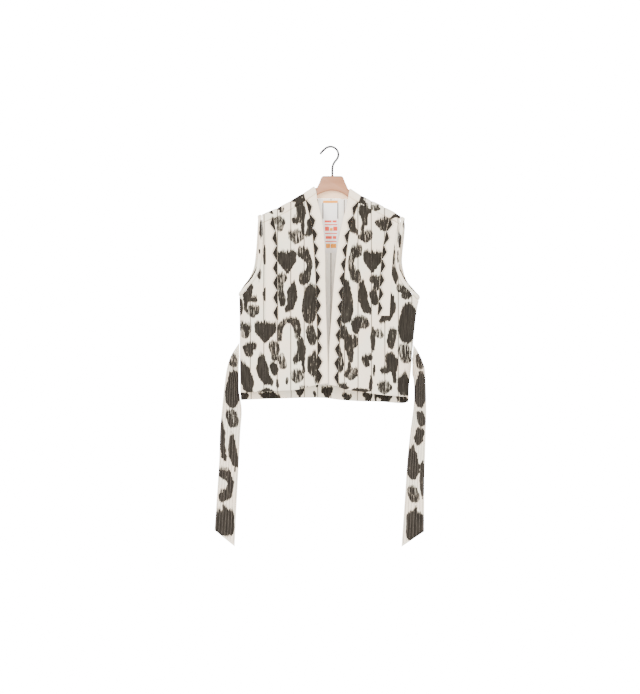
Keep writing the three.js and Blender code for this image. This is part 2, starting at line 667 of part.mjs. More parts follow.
// The hanger's outline: head, arms under the shoulders and the arch below the head
function hangerBody() {
  const top = (x) => ridge(x) - HANGER_CLEAR;
  const underside = (x) => {
    const share = (Math.abs(x) - 40) / (ARM_REACH - 40);
    return top(x) - mix(ARM_DEEP, ARM_DEEP_END, smooth(share));
  };
  const shape = new THREE.Shape();
  shape.moveTo(-24.5, HEAD_TOP);
  shape.bezierCurveTo(-34, HEAD_TOP, -39, -95, -41, top(-46) + 1);
  for (let x = -48; x >= -ARM_REACH; x -= 13.4) shape.lineTo(x, top(x));
  shape.lineTo(-ARM_REACH - 4, top(-ARM_REACH) - 9);
  shape.lineTo(-ARM_REACH, underside(-ARM_REACH));
  for (let x = -ARM_REACH + 18; x <= -50; x += 18) shape.lineTo(x, underside(x));
  shape.quadraticCurveTo(-30, -119.5, 2, -117.4);
  shape.quadraticCurveTo(36, -119.5, 54, underside(54));
  for (let x = 72; x <= ARM_REACH - 10; x += 18) shape.lineTo(x, underside(x));
  shape.lineTo(ARM_REACH, underside(ARM_REACH));
  shape.lineTo(ARM_REACH + 4, top(ARM_REACH) - 9);
  for (let x = ARM_REACH; x >= 54; x -= 13) shape.lineTo(x, top(x));
  shape.lineTo(48.5, top(50) + 1);
  shape.bezierCurveTo(47, -96, 41, HEAD_TOP, 31.9, HEAD_TOP);
  const geometry = new THREE.ExtrudeGeometry(shape, {
    depth: HANGER_THICK - 2 * HANGER_BEVEL,
    bevelThickness: HANGER_BEVEL,
    bevelSize: HANGER_BEVEL,
    bevelOffset: -HANGER_BEVEL,
    bevelSegments: 2,
    curveSegments: 8,
  });
  geometry.rotateX(Math.PI / 2);
  geometry.translate(0, HANGER_THICK / 2 - HANGER_BEVEL, 0);
  const bore = new THREE.CylinderGeometry(WIRE / 2 + SEAM_GAP, WIRE / 2 + SEAM_GAP, 2 * STEM_IN_HEAD, 16);
  bore.rotateX(Math.PI / 2);
  bore.translate(STEM_X, 0, HEAD_TOP);
  return largestBody(solid(geometry).subtract(solid(bore)));
}

// Hook: open tip, round top, and a bend into the straight stem
function hangerHook() {
  const points = [new THREE.Vector3(-29, 0, -16.5), new THREE.Vector3(-24.5, 0, -10.5)];
  for (let degrees = 130; degrees >= -40; degrees -= 17) {
    const angle = THREE.MathUtils.degToRad(degrees);
    points.push(new THREE.Vector3(HOOK.x + HOOK.radius * Math.cos(angle), 0,
      HOOK.z + HOOK.radius * Math.sin(angle)));
  }
  points.push(new THREE.Vector3(8, 0, -42), new THREE.Vector3(4.6, 0, -51));
  points.push(new THREE.Vector3(STEM_X, 0, -60), new THREE.Vector3(STEM_X, 0, -78));
  points.push(new THREE.Vector3(STEM_X, 0, HEAD_TOP - STEM_IN_HEAD + 1));
  const section = new THREE.Shape();
  section.absarc(0, 0, WIRE / 2, 0, 2 * Math.PI);
  return new THREE.ExtrudeGeometry(section, {
    steps: 40, curveSegments: 5, extrudePath: new THREE.CatmullRomCurve3(points, false, 'centripetal'),
  });
}

const cream = { color: 0xe6e0da, roughness: 0.9, metalness: 0 };
const printed = { color: 0xb5afa7, roughness: 0.9, metalness: 0 };
const charcoal = { color: 0x544c44, roughness: 0.9, metalness: 0 };
const woven = { color: 0xefe9e2, roughness: 0.8, metalness: 0 };
const wood = { color: 0xd7bbad, roughness: 0.5, metalness: 0 };
const steel = { color: 0x5a5a5a, roughness: 0.35, metalness: 1 };

const garment = new THREE.Group();
function addPiece(name, geometry, finish) {
  const mesh = new THREE.Mesh(geometry, new THREE.MeshStandardMaterial(finish));
  mesh.name = name;
  garment.add(mesh);
}

addPiece('back', backPanel(), printed);
addPiece('neck_band', neckBand(), cream);
[{ side: LEFT, mark: 'l' }, { side: RIGHT, mark: 'r' }].forEach(({ side, mark }) => {
  addPiece(`front_${mark}`, frontPanel(side), printed);
  addPiece(`front_band_${mark}`, frontBand(side), cream);
  addPiece(`front_trim_${mark}`, frontTrim(side), charcoal);
  addPiece(`chest_strip_${mark}`, chestStrip(side), cream);
  addPiece(`chest_trim_${mark}`, chestTrim(side), charcoal);
  addPiece(`armhole_binding_${mark}`, armholeBinding(side), printed);
  addPiece(`tie_${mark}`, tie(side), printed);
});
addPiece('label', label(), woven);
addPiece('hanger_body', hangerBody(), wood);
addPiece('hanger_hook', hangerHook(), steel);

export default garment;
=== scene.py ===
import math
import bpy
import numpy as np
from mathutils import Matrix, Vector, kdtree


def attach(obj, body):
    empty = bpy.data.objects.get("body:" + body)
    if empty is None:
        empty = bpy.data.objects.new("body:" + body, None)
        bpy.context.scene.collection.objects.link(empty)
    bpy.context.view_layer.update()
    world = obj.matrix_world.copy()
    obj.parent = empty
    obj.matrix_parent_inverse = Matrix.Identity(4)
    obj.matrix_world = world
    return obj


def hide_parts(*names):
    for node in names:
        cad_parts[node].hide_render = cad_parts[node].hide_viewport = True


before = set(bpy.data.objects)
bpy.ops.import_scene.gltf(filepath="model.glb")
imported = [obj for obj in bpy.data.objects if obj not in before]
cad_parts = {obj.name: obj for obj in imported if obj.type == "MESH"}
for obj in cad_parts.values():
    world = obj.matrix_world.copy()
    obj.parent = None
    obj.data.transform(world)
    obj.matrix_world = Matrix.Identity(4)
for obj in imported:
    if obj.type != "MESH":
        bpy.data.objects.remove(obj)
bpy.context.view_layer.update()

# Lengths below are in millimetres until a mesh is made
MM = 0.001
# Quilted wall at its seams, the padding's swell on it and the distance between lines of quilting
WALL = 3.2
PUFF = 1.4
CHANNEL = 36.7
# Share of its thickness that a piece of cloth keeps at its border
BORDER_SHARE = 0.4
# Gap that is left between pieces that are sewn together
SEAM_GAP = 0.3
BAND_THICK = 3.8
BINDING_WIDTH = 10.5
BINDING_THICK = 4.4
BINDING_GAP = 0.9
TRIM_THICK = 1.0
STRIP_THICK = 1.2
STRIP_INSIDE = WALL + PUFF + SEAM_GAP
LABEL_THICK = 0.8
TIE_THICK = 2.4
# How far the trims' undersides stand off the lining's face
FRONT_TRIM_INSIDE = BAND_THICK + SEAM_GAP
CHEST_TRIM_INSIDE = STRIP_INSIDE + STRIP_THICK + SEAM_GAP
# Hollow inside: half its depth at the fold over the hanger and lower down, and the drops to reach both
FOLD_HALF, FOLD_DROP = 8.5, 4.0
BODY_HALF, SWELL_DROP = 30.0, 260.0
# Waves of the slack: height, length and the drop over which they grow
WAVE, WAVE_LENGTH, WAVE_DROP = 2.0, 175.0, 560.0
# Shoulders: slope in radians, and how far down the front their seam lies
SHOULDER_SLOPE = 0.5
SHOULDER_TURN = 21.0
# Drops below the ridge at which every piece that turns over it has a row of points
NEAR_RIDGE = (0.3, 0.6, 1.3, 2.6)
# Groove along each line of quilting, and the puckers beside it
GROOVE_HALF, GROOVE_DEPTH = 1.5, 0.9
PUCKER, PUCKER_LENGTH, PUCKER_REACH = 0.3, 3.1, 6.5
# The cloth's sag between its creases, which fades out towards the ridge and the side seams
SAG, CALM_DROP, CALM_SHARE, CALM_FADE = 0.7, 60, 0.86, 0.12
# Inner face of the back: printed below this height, plain above it
FACING_TOP = -650
# Points across and down each piece's grid
ACROSS = {"front": 180, "shoulder": 70, "neck": 66, "band": 18, "neck_band": 14, "binding": 10,
          "strip": 12, "trim": 8, "label": 20, "tie": 26}
DOWN = {"front": 190, "back": 170, "band": 150, "neck_band": 60, "binding": 90, "strip": 90,
        "label": 60, "tie": 260}
# Where the search for a grid's points starts, and its rounds
START_X, START_Z = 120.0, -400.0
GRID_ROUNDS, SHOULDER_ROUNDS, EDGE_ROUNDS = 14, 12, 10
# Teeth of the trims: distance from one to the next, and the trim's width at a tip and between two
TOOTH_PITCH, TOOTH_REACH, TRIM_ROOT = 38.7, 12.5, 2.0
# Where along its pitch a tooth has its tip
FRONT_TIP, CHEST_TIP = 0.45, 0.5
# Rows of points on a tooth, down to its tip and on to its foot
TOOTH_ROWS = (11, 13)
# Hook: radius of its wire, and inner radius of its bend
HOOK_RADIUS = 3.1
HOOK_BEND = 18.5
FRONT, BACK = -1.0, 1.0
LEFT, RIGHT = -1, 1

# Outer top of the shoulders, as z at each x
RIDGE = [(-201, -187), (-161, -172), (-112, -147), (-68, -120.5), (-46, -106), (0, -78), (50, -110.6),
         (85, -133), (124, -152), (163, -172), (202, -194)]
# Side seams under the arms, as distance out at each z
SIDE_EDGE = {
    LEFT: [(-397, 253), (-442, 251.6), (-673, 249.5), (-705, 247)],
    RIGHT: [(-407, 245), (-440, 237), (-516, 228), (-600, 221), (-650, 215), (-705, 213)],
}
# Armhole edges: z, distance out, and how much further out the back's edge is
ARMHOLE = {
    LEFT: [(-226, 198, 5), (-262, 197, 8), (-296, 200, 8), (-329, 205, 8), (-356, 218, 6), (-378, 236.5, 3)],
    RIGHT: [(-217, 200, 4), (-254, 193, 8), (-291, 188, 9), (-318, 186.5, 10), (-346, 193, 9),
            (-368, 204, 7), (-387, 222, 4)],
}
# Free edge of each front band and its seam to the front, as x at each z
BAND_EDGE = {
    LEFT: [(-105, -46), (-121, -40.5), (-147, -37), (-187, -26.5), (-246, -18.5), (-295, -16),
           (-368, -15.5), (-442, -13.5), (-516, -11), (-604, -8.5), (-647, -8.5)],
    RIGHT: [(-110, 50.5), (-125, 49), (-157, 43), (-206, 30.5), (-265, 18.5), (-334, 11), (-393, 6),
            (-467, 1), (-540, -4), (-604, -6), (-651, -5)],
}
BAND_SEAM = {
    LEFT: [(-142, -70.5), (-183, -60), (-222, -52), (-266, -48), (-301, -45), (-339, -43),
           (-501, -38), (-650, -36)],
    RIGHT: [(-147, 77), (-171, 69), (-206, 57), (-265, 45), (-334, 38), (-393, 33), (-467, 28),
            (-540, 23.5), (-604, 21), (-655, 21.5)],
}
# Neck band on the back: upper x and z, lower x and z, from the left shoulder to the right one
NECK = [(-41, -112, -71, -136), (-37, -112.5, -60, -139.5), (-30, -111, -40, -139.5),
        (-12, -110, -15, -139), (14, -110, 16, -139), (34, -112, 44, -141), (43, -115, 64, -144),
        (48.5, -117.5, 77, -144)]
NECK_SEAM = {LEFT: -71.0, RIGHT: 77.0}
NECK_DROP = {LEFT: 14.0, RIGHT: 12.7}
# Hems, as z at each x
FRONT_HEM = {
    LEFT: [(-250, -673), (-146, -668), (-97, -665), (-58, -656), (-38, -651), (-22, -647.5), (-8, -646)],
    RIGHT: [(-5, -651), (12, -654), (36, -663), (85, -670.5), (134, -678), (212, -685)],
}
BACK_HEM = [(-247, -694), (-193, -692), (-140, -690.5), (-26, -688.6), (31, -695), (79, -698),
            (135, -699), (199, -703), (214, -697)]
FRONT_TRIM = {LEFT: (-145, -648), RIGHT: (-149, -652)}
CHEST_OUTER = {LEFT: [(-195, -182), (-250, -178.5), (-476, -177.5)],
               RIGHT: [(-200, 185), (-260, 174), (-330, 166), (-462, 159)]}
CHEST_INNER = {LEFT: [(-188, -158), (-229, -151), (-266, -147), (-476, -144)],
               RIGHT: [(-192, 160), (-230, 151), (-270, 142), (-330, 135), (-462, 126)]}
CHEST_BOTTOM = {LEFT: -476, RIGHT: -462}
# Tie belts, row by row: outer edge x, z, y and inner edge x, z, y
TIE = {
    LEFT: [(-252.6, -536, 0, -252.6, -577, 0), (-262, -550, 1, -254, -592, 3), (-274, -570, 0, -254, -616, 8),
           (-284, -598, -4, -253.8, -640, 13), (-291, -637, -6, -253.4, -668, 15),
           (-299, -715, -5, -246, -722, 13), (-305, -780, -2, -250, -784, 8), (-308, -865, 2, -254, -872, 4),
           (-315, -970, 4, -260, -985, 0), (-321, -1052, 3, -265, -1096, 0)],
    RIGHT: [(226.7, -542, 0, 223.4, -583, 0), (238, -560, -9, 223.8, -600, 4),
            (250, -586, -18, 224.5, -622, 12), (258, -618, -22, 229, -646, 16),
            (260, -700, -22, 228, -708, 16), (258, -780, -20, 219, -784, 13),
            (257, -860, -14, 210, -864, 8), (256, -940, -8, 204, -950, 4), (256, -1055, -4, 194, -1097, 0)],
}
# Label's left, right, upper and lower edge
LABEL = (-23.4, 20.2, -143.6, -287.0)

# Creases: x and z of both ends, half width and height, on the front and on the back
FRONT_CREASES = [
    (-232, -412, -150, -560, 11, 1.5), (-236, -430, -190, -650, 9, -1.3), (-196, -250, -150, -330, 9, 1.1),
    (-95, -420, -70, -640, 10, 1.2), (-120, -520, -110, -662, 8, -1.1), (-205, -560, -196, -668, 9, 1.4),
    (-80, -160, -110, -260, 9, 0.9), (212, -425, 150, -560, 11, 1.5), (205, -470, 180, -660, 9, -1.2),
    (185, -245, 140, -330, 9, 1.1), (92, -430, 60, -640, 10, 1.2), (120, -540, 116, -668, 8, -1.0),
    (86, -170, 112, -270, 9, 0.9), (155, -590, 160, -676, 8, 1.3), (30, -480, 26, -640, 8, 0.8),
]
BACK_CREASES = [
    (-225, -420, -130, -570, 12, 1.6), (-150, -540, -120, -684, 10, 1.3), (-60, -170, -100, -300, 10, 1.1),
    (-20, -300, -30, -560, 13, 0.9), (215, -430, 120, -575, 12, 1.5), (150, -560, 140, -690, 10, 1.2),
    (70, -175, 105, -300, 10, 1.0), (40, -420, 60, -680, 12, -1.1), (-90, -480, -70, -680, 10, -1.2),
]


def curve(rows, at):
    """A smooth curve through (key, value) rows, carried on straight past its ends."""
    table = np.array(rows, float)
    if table[0, 0] > table[-1, 0]:
        table = table[::-1]
    keys, values = table[:, 0], table[:, 1]
    at = np.asarray(at, float)
    last = len(keys) - 1
    slopes = np.empty(last + 1)
    slopes[1:-1] = (values[2:] - values[:-2]) / (keys[2:] - keys[:-2])
    slopes[0] = (values[1] - values[0]) / (keys[1] - keys[0])
    slopes[-1] = (values[-1] - values[-2]) / (keys[-1] - keys[-2])
    i = np.clip(np.searchsorted(keys, at) - 1, 0, last - 1)
    step = keys[i + 1] - keys[i]
    t = np.clip((at - keys[i]) / step, 0, 1)
    inside = (values[i] * (2 * t**3 - 3 * t**2 + 1) + slopes[i] * step * (t**3 - 2 * t**2 + t)
              + values[i + 1] * (3 * t**2 - 2 * t**3) + slopes[i + 1] * step * (t**3 - t**2))
    before = slopes[0] * np.minimum(at - keys[0], 0)
    after = slopes[-1] * np.maximum(at - keys[-1], 0)
    return inside + before + after


def through(points, count):
    """A smooth line through points, evenly sampled, as one array for each coordinate."""
    points = np.array(points, float)
    keys = np.arange(len(points))
    at = np.linspace(0, len(points) - 1, count)
    return [curve(np.stack([keys, values], -1), at) for values in points.T]


def smooth(t):
    t = np.clip(t, 0, 1)
    return t * t * (3 - 2 * t)


def mix(a, b, t):
    return a + (b - a) * t


def ridge(x):
    return curve(RIDGE, x) - WALL / math.cos(SHOULDER_SLOPE)


def half_width(x, z):
    left = curve(SIDE_EDGE[LEFT], np.minimum(z, SIDE_EDGE[LEFT][0][0]))
    right = curve(SIDE_EDGE[RIGHT], np.minimum(z, SIDE_EDGE[RIGHT][0][0]))
    return np.where(np.asarray(x) < 0, left, right) - WALL


def half_depth(x, z):
    """Half the depth of the hollow inside the garment."""
    drop = np.maximum(0, ridge(x) - z)
    share = np.minimum(1, np.abs(x) / half_width(x, z))
    turn = 1 - np.minimum(drop, FOLD_DROP) / FOLD_DROP
    rounded = np.sqrt(1 - share**2.5)
    fold = FOLD_HALF * np.sqrt(1 - turn**2) * np.sqrt(1 - share**8)
    swell = (BODY_HALF - FOLD_HALF) * smooth(drop / SWELL_DROP)
    wave = WAVE * smooth(drop / WAVE_DROP) * np.sin(2 * math.pi * x / WAVE_LENGTH)
    return fold + (swell + wave) * rounded + SEAM_GAP / 2


def creases(x, z, rows):
    """Soft ridges and troughs, each fading towards its ends."""
    height = np.zeros(np.shape(x))
    for ax, az, bx, bz, wide, high in rows:
        dx, dz = bx - ax, bz - az
        t = ((x - ax) * dx + (z - az) * dz) / (dx * dx + dz * dz)
        near = np.clip(t, 0, 1)
        far = np.hypot(x - ax - near * dx, z - az - near * dz)
        height += high * np.exp(-(far / wide) ** 2) * (0.35 + 0.65 * np.sin(math.pi * near))
    return height


def relief(x, z, face):
    """How far the whole cloth stands off its plain form: creases and the sag between them."""
    at_side = smooth((np.abs(x) / half_width(x, z) - CALM_SHARE) / CALM_FADE)
    calm = smooth((ridge(x) - z) / CALM_DROP) * (1 - at_side)
    slow = SAG * np.sin(x / 31 + 1.1 * np.sin(z / 74)) * np.sin(z / 53 + x / 90)
    front = creases(x, z, FRONT_CREASES)
    back = creases(x, z, BACK_CREASES)
    return calm * (slow + np.where(face < 0, front, back))


def body_point(x, z, face, off):
    """A point of the front or the back, moved off the lining's face by a distance."""
    x, z, face, off = np.broadcast_arrays(*(np.asarray(v, float) for v in (x, z, face, off)))
    h = 0.2
    side = half_width(x, z)
    at = np.clip(x, -side, side)
    slope_x = (half_depth(at + h, z) - half_depth(at - h, z)) / (2 * h)
    slope_z = (half_depth(at, z + h) - half_depth(at, z - h)) / (2 * h)
    normal = np.stack([-slope_x, face, -slope_z], -1)
    normal /= np.linalg.norm(normal, axis=-1, keepdims=True)
    base = np.stack([at, face * half_depth(at, z), z], -1)
    return base + normal * (off + relief(at, z, face))[..., None]


def quilting(x, z):
    """The padding's swell between two lines of quilting, its groove and the puckers beside it."""
    channel, nearest = np.floor(x / CHANNEL), np.round(x / CHANNEL)
    to_line = np.abs(x - CHANNEL * nearest)
    groove = GROOVE_DEPTH * np.exp(-(to_line / GROOVE_HALF) ** 2)
    lively = 1 + 0.2 * np.sin(z / 23 + 1.7 * channel) + 0.14 * np.sin(z / 9.3 + 3.9 * channel)
    swell = PUFF * np.abs(np.sin(math.pi * x / CHANNEL)) ** 0.7 * lively
    ripple = np.sin(z / PUCKER_LENGTH + 2.2 * np.sin(z / 27 + 2.6 * nearest))
    return swell - groove + PUCKER * ripple * np.exp(-(to_line / PUCKER_REACH) ** 2)


# Grids, their joining, and meshes

def spaced(count):
    """Even shares from 0 to 1, with two more close to each end."""
    even = np.linspace(0, 1, count)
    close = even[1] * np.array([0.25, 0.6])
    return np.unique(np.concatenate([even, close, 1 - close]))


def knit(grids):
    """Several grids as one surface: its points (x, z, face), its quads and its border edges."""
    points, quads, start = [], [], 0
    for x, z, face in grids:
        rows, columns = x.shape
        points.append(np.stack([x, z, np.broadcast_to(face, x.shape)], -1).reshape(-1, 3))
        ids = start + np.arange(rows * columns).reshape(rows, columns)
        quads.append(np.stack([ids[:-1, :-1], ids[:-1, 1:], ids[1:, 1:], ids[1:, :-1]], -1).reshape(-1, 4))
        start += rows * columns
    points = np.concatenate(points)
    _, first, place = np.unique(np.round(points, 2), axis=0, return_index=True, return_inverse=True)
    quads = place.reshape(-1)[np.concatenate(quads)]
    edges = np.concatenate([quads[:, [k, (k + 1) % 4]] for k in range(4)])
    low, high = edges.min(1), edges.max(1)
    _, where, count = np.unique(low * len(first) + high, return_index=True, return_counts=True)
    border = edges[where[count == 1]]
    return points[first], quads, border[border[:, 0] != border[:, 1]]


def to_border(points, border):
    """Distance of each point to the border, in millimetres."""
    a, b = points[border[:, 0]], points[border[:, 1]]
    marks = np.concatenate([mix(a, b, t) for t in (0, 0.33, 0.67)])
    tree = kdtree.KDTree(len(marks))
    for k, mark in enumerate(marks):
        tree.insert(mark, k)
    tree.balance()
    return np.array([tree.find(p)[2] for p in points])


def make_mesh(name, points, faces, materials, slots=None):
    """An object from points in millimetres and faces, with each face's material slot."""
    mesh = bpy.data.meshes.new(name)
    mesh.from_pydata((points * MM).tolist(), [], faces)
    mesh.update()
    for material in materials:
        mesh.materials.append(material)
    if slots is not None:
        mesh.polygons.foreach_set("material_index", slots)
    mesh.polygons.foreach_set("use_smooth", np.ones(len(mesh.polygons), bool))
    obj = bpy.data.objects.new(name, mesh)
    bpy.context.collection.objects.link(obj)
    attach(obj, "root")
    return obj


def add_values(obj, name, values):
    """A value for each point of a mesh: a number, or a vector."""
    kind, field = ("FLOAT_VECTOR", "vector") if values.ndim == 2 else ("FLOAT", "value")
    attribute = obj.data.attributes.new(name, kind, "POINT")
    attribute.data.foreach_set(field, values.astype(np.float32).ravel())


def cloth_piece(node, grids, inside, outside, materials, chart=None, round_off=3.0, place=body_point,
                facing_top=None):
    """A closed piece of cloth over grids, from one distance off the lining's face to another.

    Its outer face rounds down to its border, and it stands for the CAD node of its name.
    """
    points, quads, border = knit(grids)
    x, z, face = points.T
    from_border = to_border(place(x, z, face, 0.0), border)
    high = outside(x, z, from_border) if callable(outside) else outside
    share = 1 - np.clip(from_border / round_off, 0, 1)
    high = inside + (high - inside) * mix(BORDER_SHARE, 1, np.sqrt(1 - share**2))
    both = np.concatenate([place(x, z, face, inside), place(x, z, face, high)])
    count = len(x)
    rim = np.stack([border[:, 0], border[:, 1], border[:, 1] + count, border[:, 0] + count], -1)
    faces = [*(quads[:, ::-1] + count).tolist(), *quads.tolist(), *rim.tolist()]
    faces = [list(dict.fromkeys(f)) for f in faces]
    within = np.ones(len(quads), int)
    if facing_top is not None:
        within[z[quads].max(1) < facing_top] = 0
    slots = np.array([*[0] * len(quads), *within, *[0] * len(rim)])
    keep = [k for k, f in enumerate(faces) if len(f) > 2]
    obj = make_mesh(f"{node}_cloth", both, [faces[k] for k in keep], materials, slots[keep])
    recalculated(obj)
    flat = np.concatenate([points, points])
    add_values(obj, "cloth", flat)
    if chart is not None:
        add_print(obj, *flat.T, chart)
    return stands_for(obj, node)


def stands_for(obj, node):
    """Put a finished piece in the place of a CAD node."""
    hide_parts(node)
    return obj


def select_only(obj):
    bpy.ops.object.select_all(action="DESELECT")
    obj.select_set(True)
    bpy.context.view_layer.objects.active = obj


def recalculated(obj):
    select_only(obj)
    bpy.ops.object.mode_set(mode="EDIT")
    bpy.ops.mesh.select_all(action="SELECT")
    bpy.ops.mesh.normals_make_consistent(inside=False)
    bpy.ops.object.mode_set(mode="OBJECT")
    obj.select_set(False)


# Print: each mark is a few strokes in a square from -1 to 1, as (x, z, radius) along each stroke
MARKS = {
    "oval": [[(-0.12, 0.35, 0.62), (0.1, -0.35, 0.64)]],
    "blot": [[(-0.3, 0.35, 0.55), (0.35, 0.2, 0.5), (0.05, -0.45, 0.5)]],
    "head": [[(-0.45, 0.45, 0.42), (0.3, 0.35, 0.6)], [(0.2, 0.3, 0.62), (0.05, -0.62, 0.34)]],
    "key": [[(-0.05, 0.72, 0.42), (0.12, 0.35, 0.52), (0.22, -0.05, 0.3)],
            [(0, 0, 0.26), (-0.62, -0.14, 0.26)], [(0.25, -0.1, 0.22), (0.32, -0.85, 0.16)]],
    "lens": [[(0, 0.5, 0.42), (0, 0, 0.85), (0, -0.5, 0.42)]],
    "ring": [[(-0.5, 0.35, 0.45), (0.25, 0.5, 0.4), (0.5, -0.1, 0.45), (0, -0.5, 0.45),
              (-0.45, -0.1, 0.45)], [(0, 0, 0.5), (0.1, 0, 0.5)]],
    "heart": [[(-0.7, 0.7, 0.26), (0.7, 0.74, 0.26)],
              [(-0.68, 0.6, 0.28), (-0.62, 0.1, 0.3), (0, -0.8, 0.15)],
              [(0.68, 0.6, 0.28), (0.62, 0.15, 0.3), (0.08, -0.85, 0.12)],
              [(0, 0.5, 0.5), (0, -0.2, 0.45)]],
    "comma": [[(0.25, 0.68, 0.34), (0.1, 0.15, 0.66), (-0.05, -0.4, 0.5), (-0.62, -0.82, 0.22)]],
    "bean": [[(-0.35, 0.72, 0.42), (-0.25, 0.1, 0.66), (0.1, -0.5, 0.5), (0.7, -0.78, 0.26)]],
    "spindle": [[(0.1, 0.92, 0.12), (0.05, 0.35, 0.7), (-0.1, -0.3, 0.78), (0.05, -0.92, 0.1)]],
    "drop": [[(0.1, 0.85, 0.2), (-0.05, 0.1, 0.7), (0.05, -0.4, 0.78)]],
    "arch": [[(-0.78, -0.8, 0.2), (-0.74, 0.2, 0.26), (-0.25, 0.76, 0.26), (0.35, 0.72, 0.3),
              (0.7, 0.1, 0.3), (0.72, -0.5, 0.28)]],
    "cee": [[(0.55, 0.76, 0.36), (-0.2, 0.62, 0.4), (-0.6, 0.05, 0.34), (-0.3, -0.55, 0.42),
             (0.35, -0.72, 0.4)]],
    "wedge": [[(-0.7, 0.62, 0.3), (0.68, 0.5, 0.3), (0.1, -0.75, 0.16), (-0.6, 0.5, 0.3)],
              [(0, 0.4, 0.45), (0.05, -0.3, 0.3)]],
    "arc": [[(-0.8, -0.3, 0.35), (0, 0.35, 0.55), (0.8, -0.2, 0.35)]],
    "slant": [[(-0.5, 0.85, 0.2), (-0.2, 0.3, 0.58), (0.2, -0.3, 0.58), (0.52, -0.85, 0.22)]],
    "block": [[(-0.12, 0.85, 0.14), (0.05, 0.5, 0.42)],
              [(-0.52, 0.25, 0.42), (0.5, 0.32, 0.42), (0.52, -0.5, 0.42), (-0.5, -0.52, 0.42),
               (-0.52, 0.25, 0.42)], [(0, 0.2, 0.5), (0, -0.3, 0.5)]],
}

# Charts: mark, x and z of its middle, width, height, paleness, and -1 where it is turned over.
# A line has its strokes, as (x, z, radius), and how pale it is.
LEFT_CHART = [
    ("key", -88, -192, 36, 92, 0.3, 1), ("ring", -96, -247, 39, 38, 0.62, 1),
    ("blot", -141, -210, 31, 42, 0.6, 1), ("comma", -57, -216, 27, 60, 0.15, 1),
    ("heart", -120, -316, 48, 59, 0.05, 1), ("cee", -71, -326, 38, 98, 0.38, -1),
    ("lens", -181, -296, 10, 52, 0.3, 1), ("blot", -138, -370, 34, 47, 0.6, -1),
    ("oval", -134, -414, 20, 46, 0.45, 1), ("comma", -109, -412, 32, 78, 0.15, 1),
    ("spindle", -59, -430, 39, 102, 0.25, 1), ("lens", -179, -404, 13, 36, 0.3, 1),
    ("key", -221, -411, 38, 72, 0.3, -1), ("ring", -213, -450, 34, 36, 0.6, -1),
    ("lens", -246, -438, 14, 46, 0.2, 1), ("heart", -179, -508, 55, 54, 0.05, -1),
    ("blot", -235, -502, 34, 44, 0.6, 1), ("arch", -115, -500, 58, 62, 0.5, 1),
    ("oval", -93, -494, 23, 46, 0.35, 1), ("blot", -155, -558, 29, 54, 0.55, 1),
    ("oval", -133, -588, 23, 40, 0.6, 1), ("oval", -155, -606, 24, 35, 0.15, 1),
    ("oval", -54, -515, 29, 54, 0.45, 1), ("key", -86, -571, 34, 94, 0.34, 1),
    ("ring", -93, -628, 34, 37, 0.6, 1), ("drop", -47, -592, 35, 66, 0.42, 1),
    ("lens", -42, -634, 10, 30, 0.6, 1), ("blot", -221, -554, 36, 42, 0.4, -1),
    ("bean", -180, -610, 44, 80, 0.05, 1), ("slant", -231, -633, 38, 92, 0.15, 1),
    ("arc", -176, -667, 46, 16, 0.2, 1), ("lens", -146, -648, 8, 26, 0.4, 1),
    ("oval", -73, -661, 28, 16, 0.75, 1), ("blot", -168, -245, 16, 30, 0.6, 1),
    ("oval", -232, -360, 18, 30, 0.4, 1), ("lens", -120, -640, 7, 24, 0.5, 1),
    ("lens", -196, -348, 11, 40, 0.35, 1),
]
RIGHT_CHART = [
    ("head", 94, -185, 34, 62, 0.3, -1), ("lens", 86, -226, 10, 34, 0.3, 1),
    ("ring", 94, -245, 37, 36, 0.55, -1), ("comma", 60, -213, 26, 50, 0.3, -1),
    ("blot", 145, -211, 46, 36, 0.45, -1), ("heart", 113, -315, 48, 56, 0.1, -1),
    ("cee", 65, -321, 37, 98, 0.5, 1), ("blot", 124, -372, 37, 42, 0.45, 1),
    ("wedge", 174, -349, 30, 50, 0.15, 1), ("lens", 170, -292, 10, 68, 0.25, 1),
    ("spindle", 40, -424, 38, 114, 0.25, -1), ("bean", 92, -411, 36, 86, 0.15, 1),
    ("oval", 117, -413, 25, 42, 0.3, 1), ("comma", 154, -444, 44, 74, 0.25, 1),
    ("blot", 203, -397, 45, 40, 0.45, 1), ("spindle", 207, -482, 46, 102, 0.15, 1),
    ("oval", 66, -491, 23, 40, 0.15, 1), ("oval", 84, -480, 40, 34, 0.5, 1),
    ("lens", 114, -526, 13, 68, 0.2, 1), ("oval", 131, -511, 23, 26, 0.7, 1),
    ("oval", 165, -523, 26, 56, 0.35, -1), ("oval", 30, -505, 35, 40, 0.45, 1),
    ("head", 54, -553, 36, 74, 0.38, -1), ("lens", 50, -600, 10, 36, 0.3, 1),
    ("ring", 54, -621, 35, 34, 0.5, -1), ("oval", 21, -582, 26, 66, 0.35, 1),
    ("oval", 12, -618, 16, 28, 0.2, 1), ("blot", 98, -584, 30, 35, 0.35, -1),
    ("lens", 117, -610, 8, 32, 0.4, 1), ("lens", 108, -648, 11, 38, 0.2, 1),
    ("key", 159, -604, 46, 80, 0.25, 1), ("ring", 146, -659, 38, 34, 0.5, 1),
    ("oval", 202, -565, 36, 50, 0.62, 1), ("drop", 199, -649, 34, 62, 0.3, 1),
    ("oval", 32, -655, 30, 18, 0.45, 1), ("oval", 80, -666, 46, 13, 0.35, 1),
    ("oval", 5, -649, 15, 16, 0.3, 1),
    ("line", [[(186, -300, 1.6), (190, -330, 2.4), (205, -365, 2)]], 0.4),
]
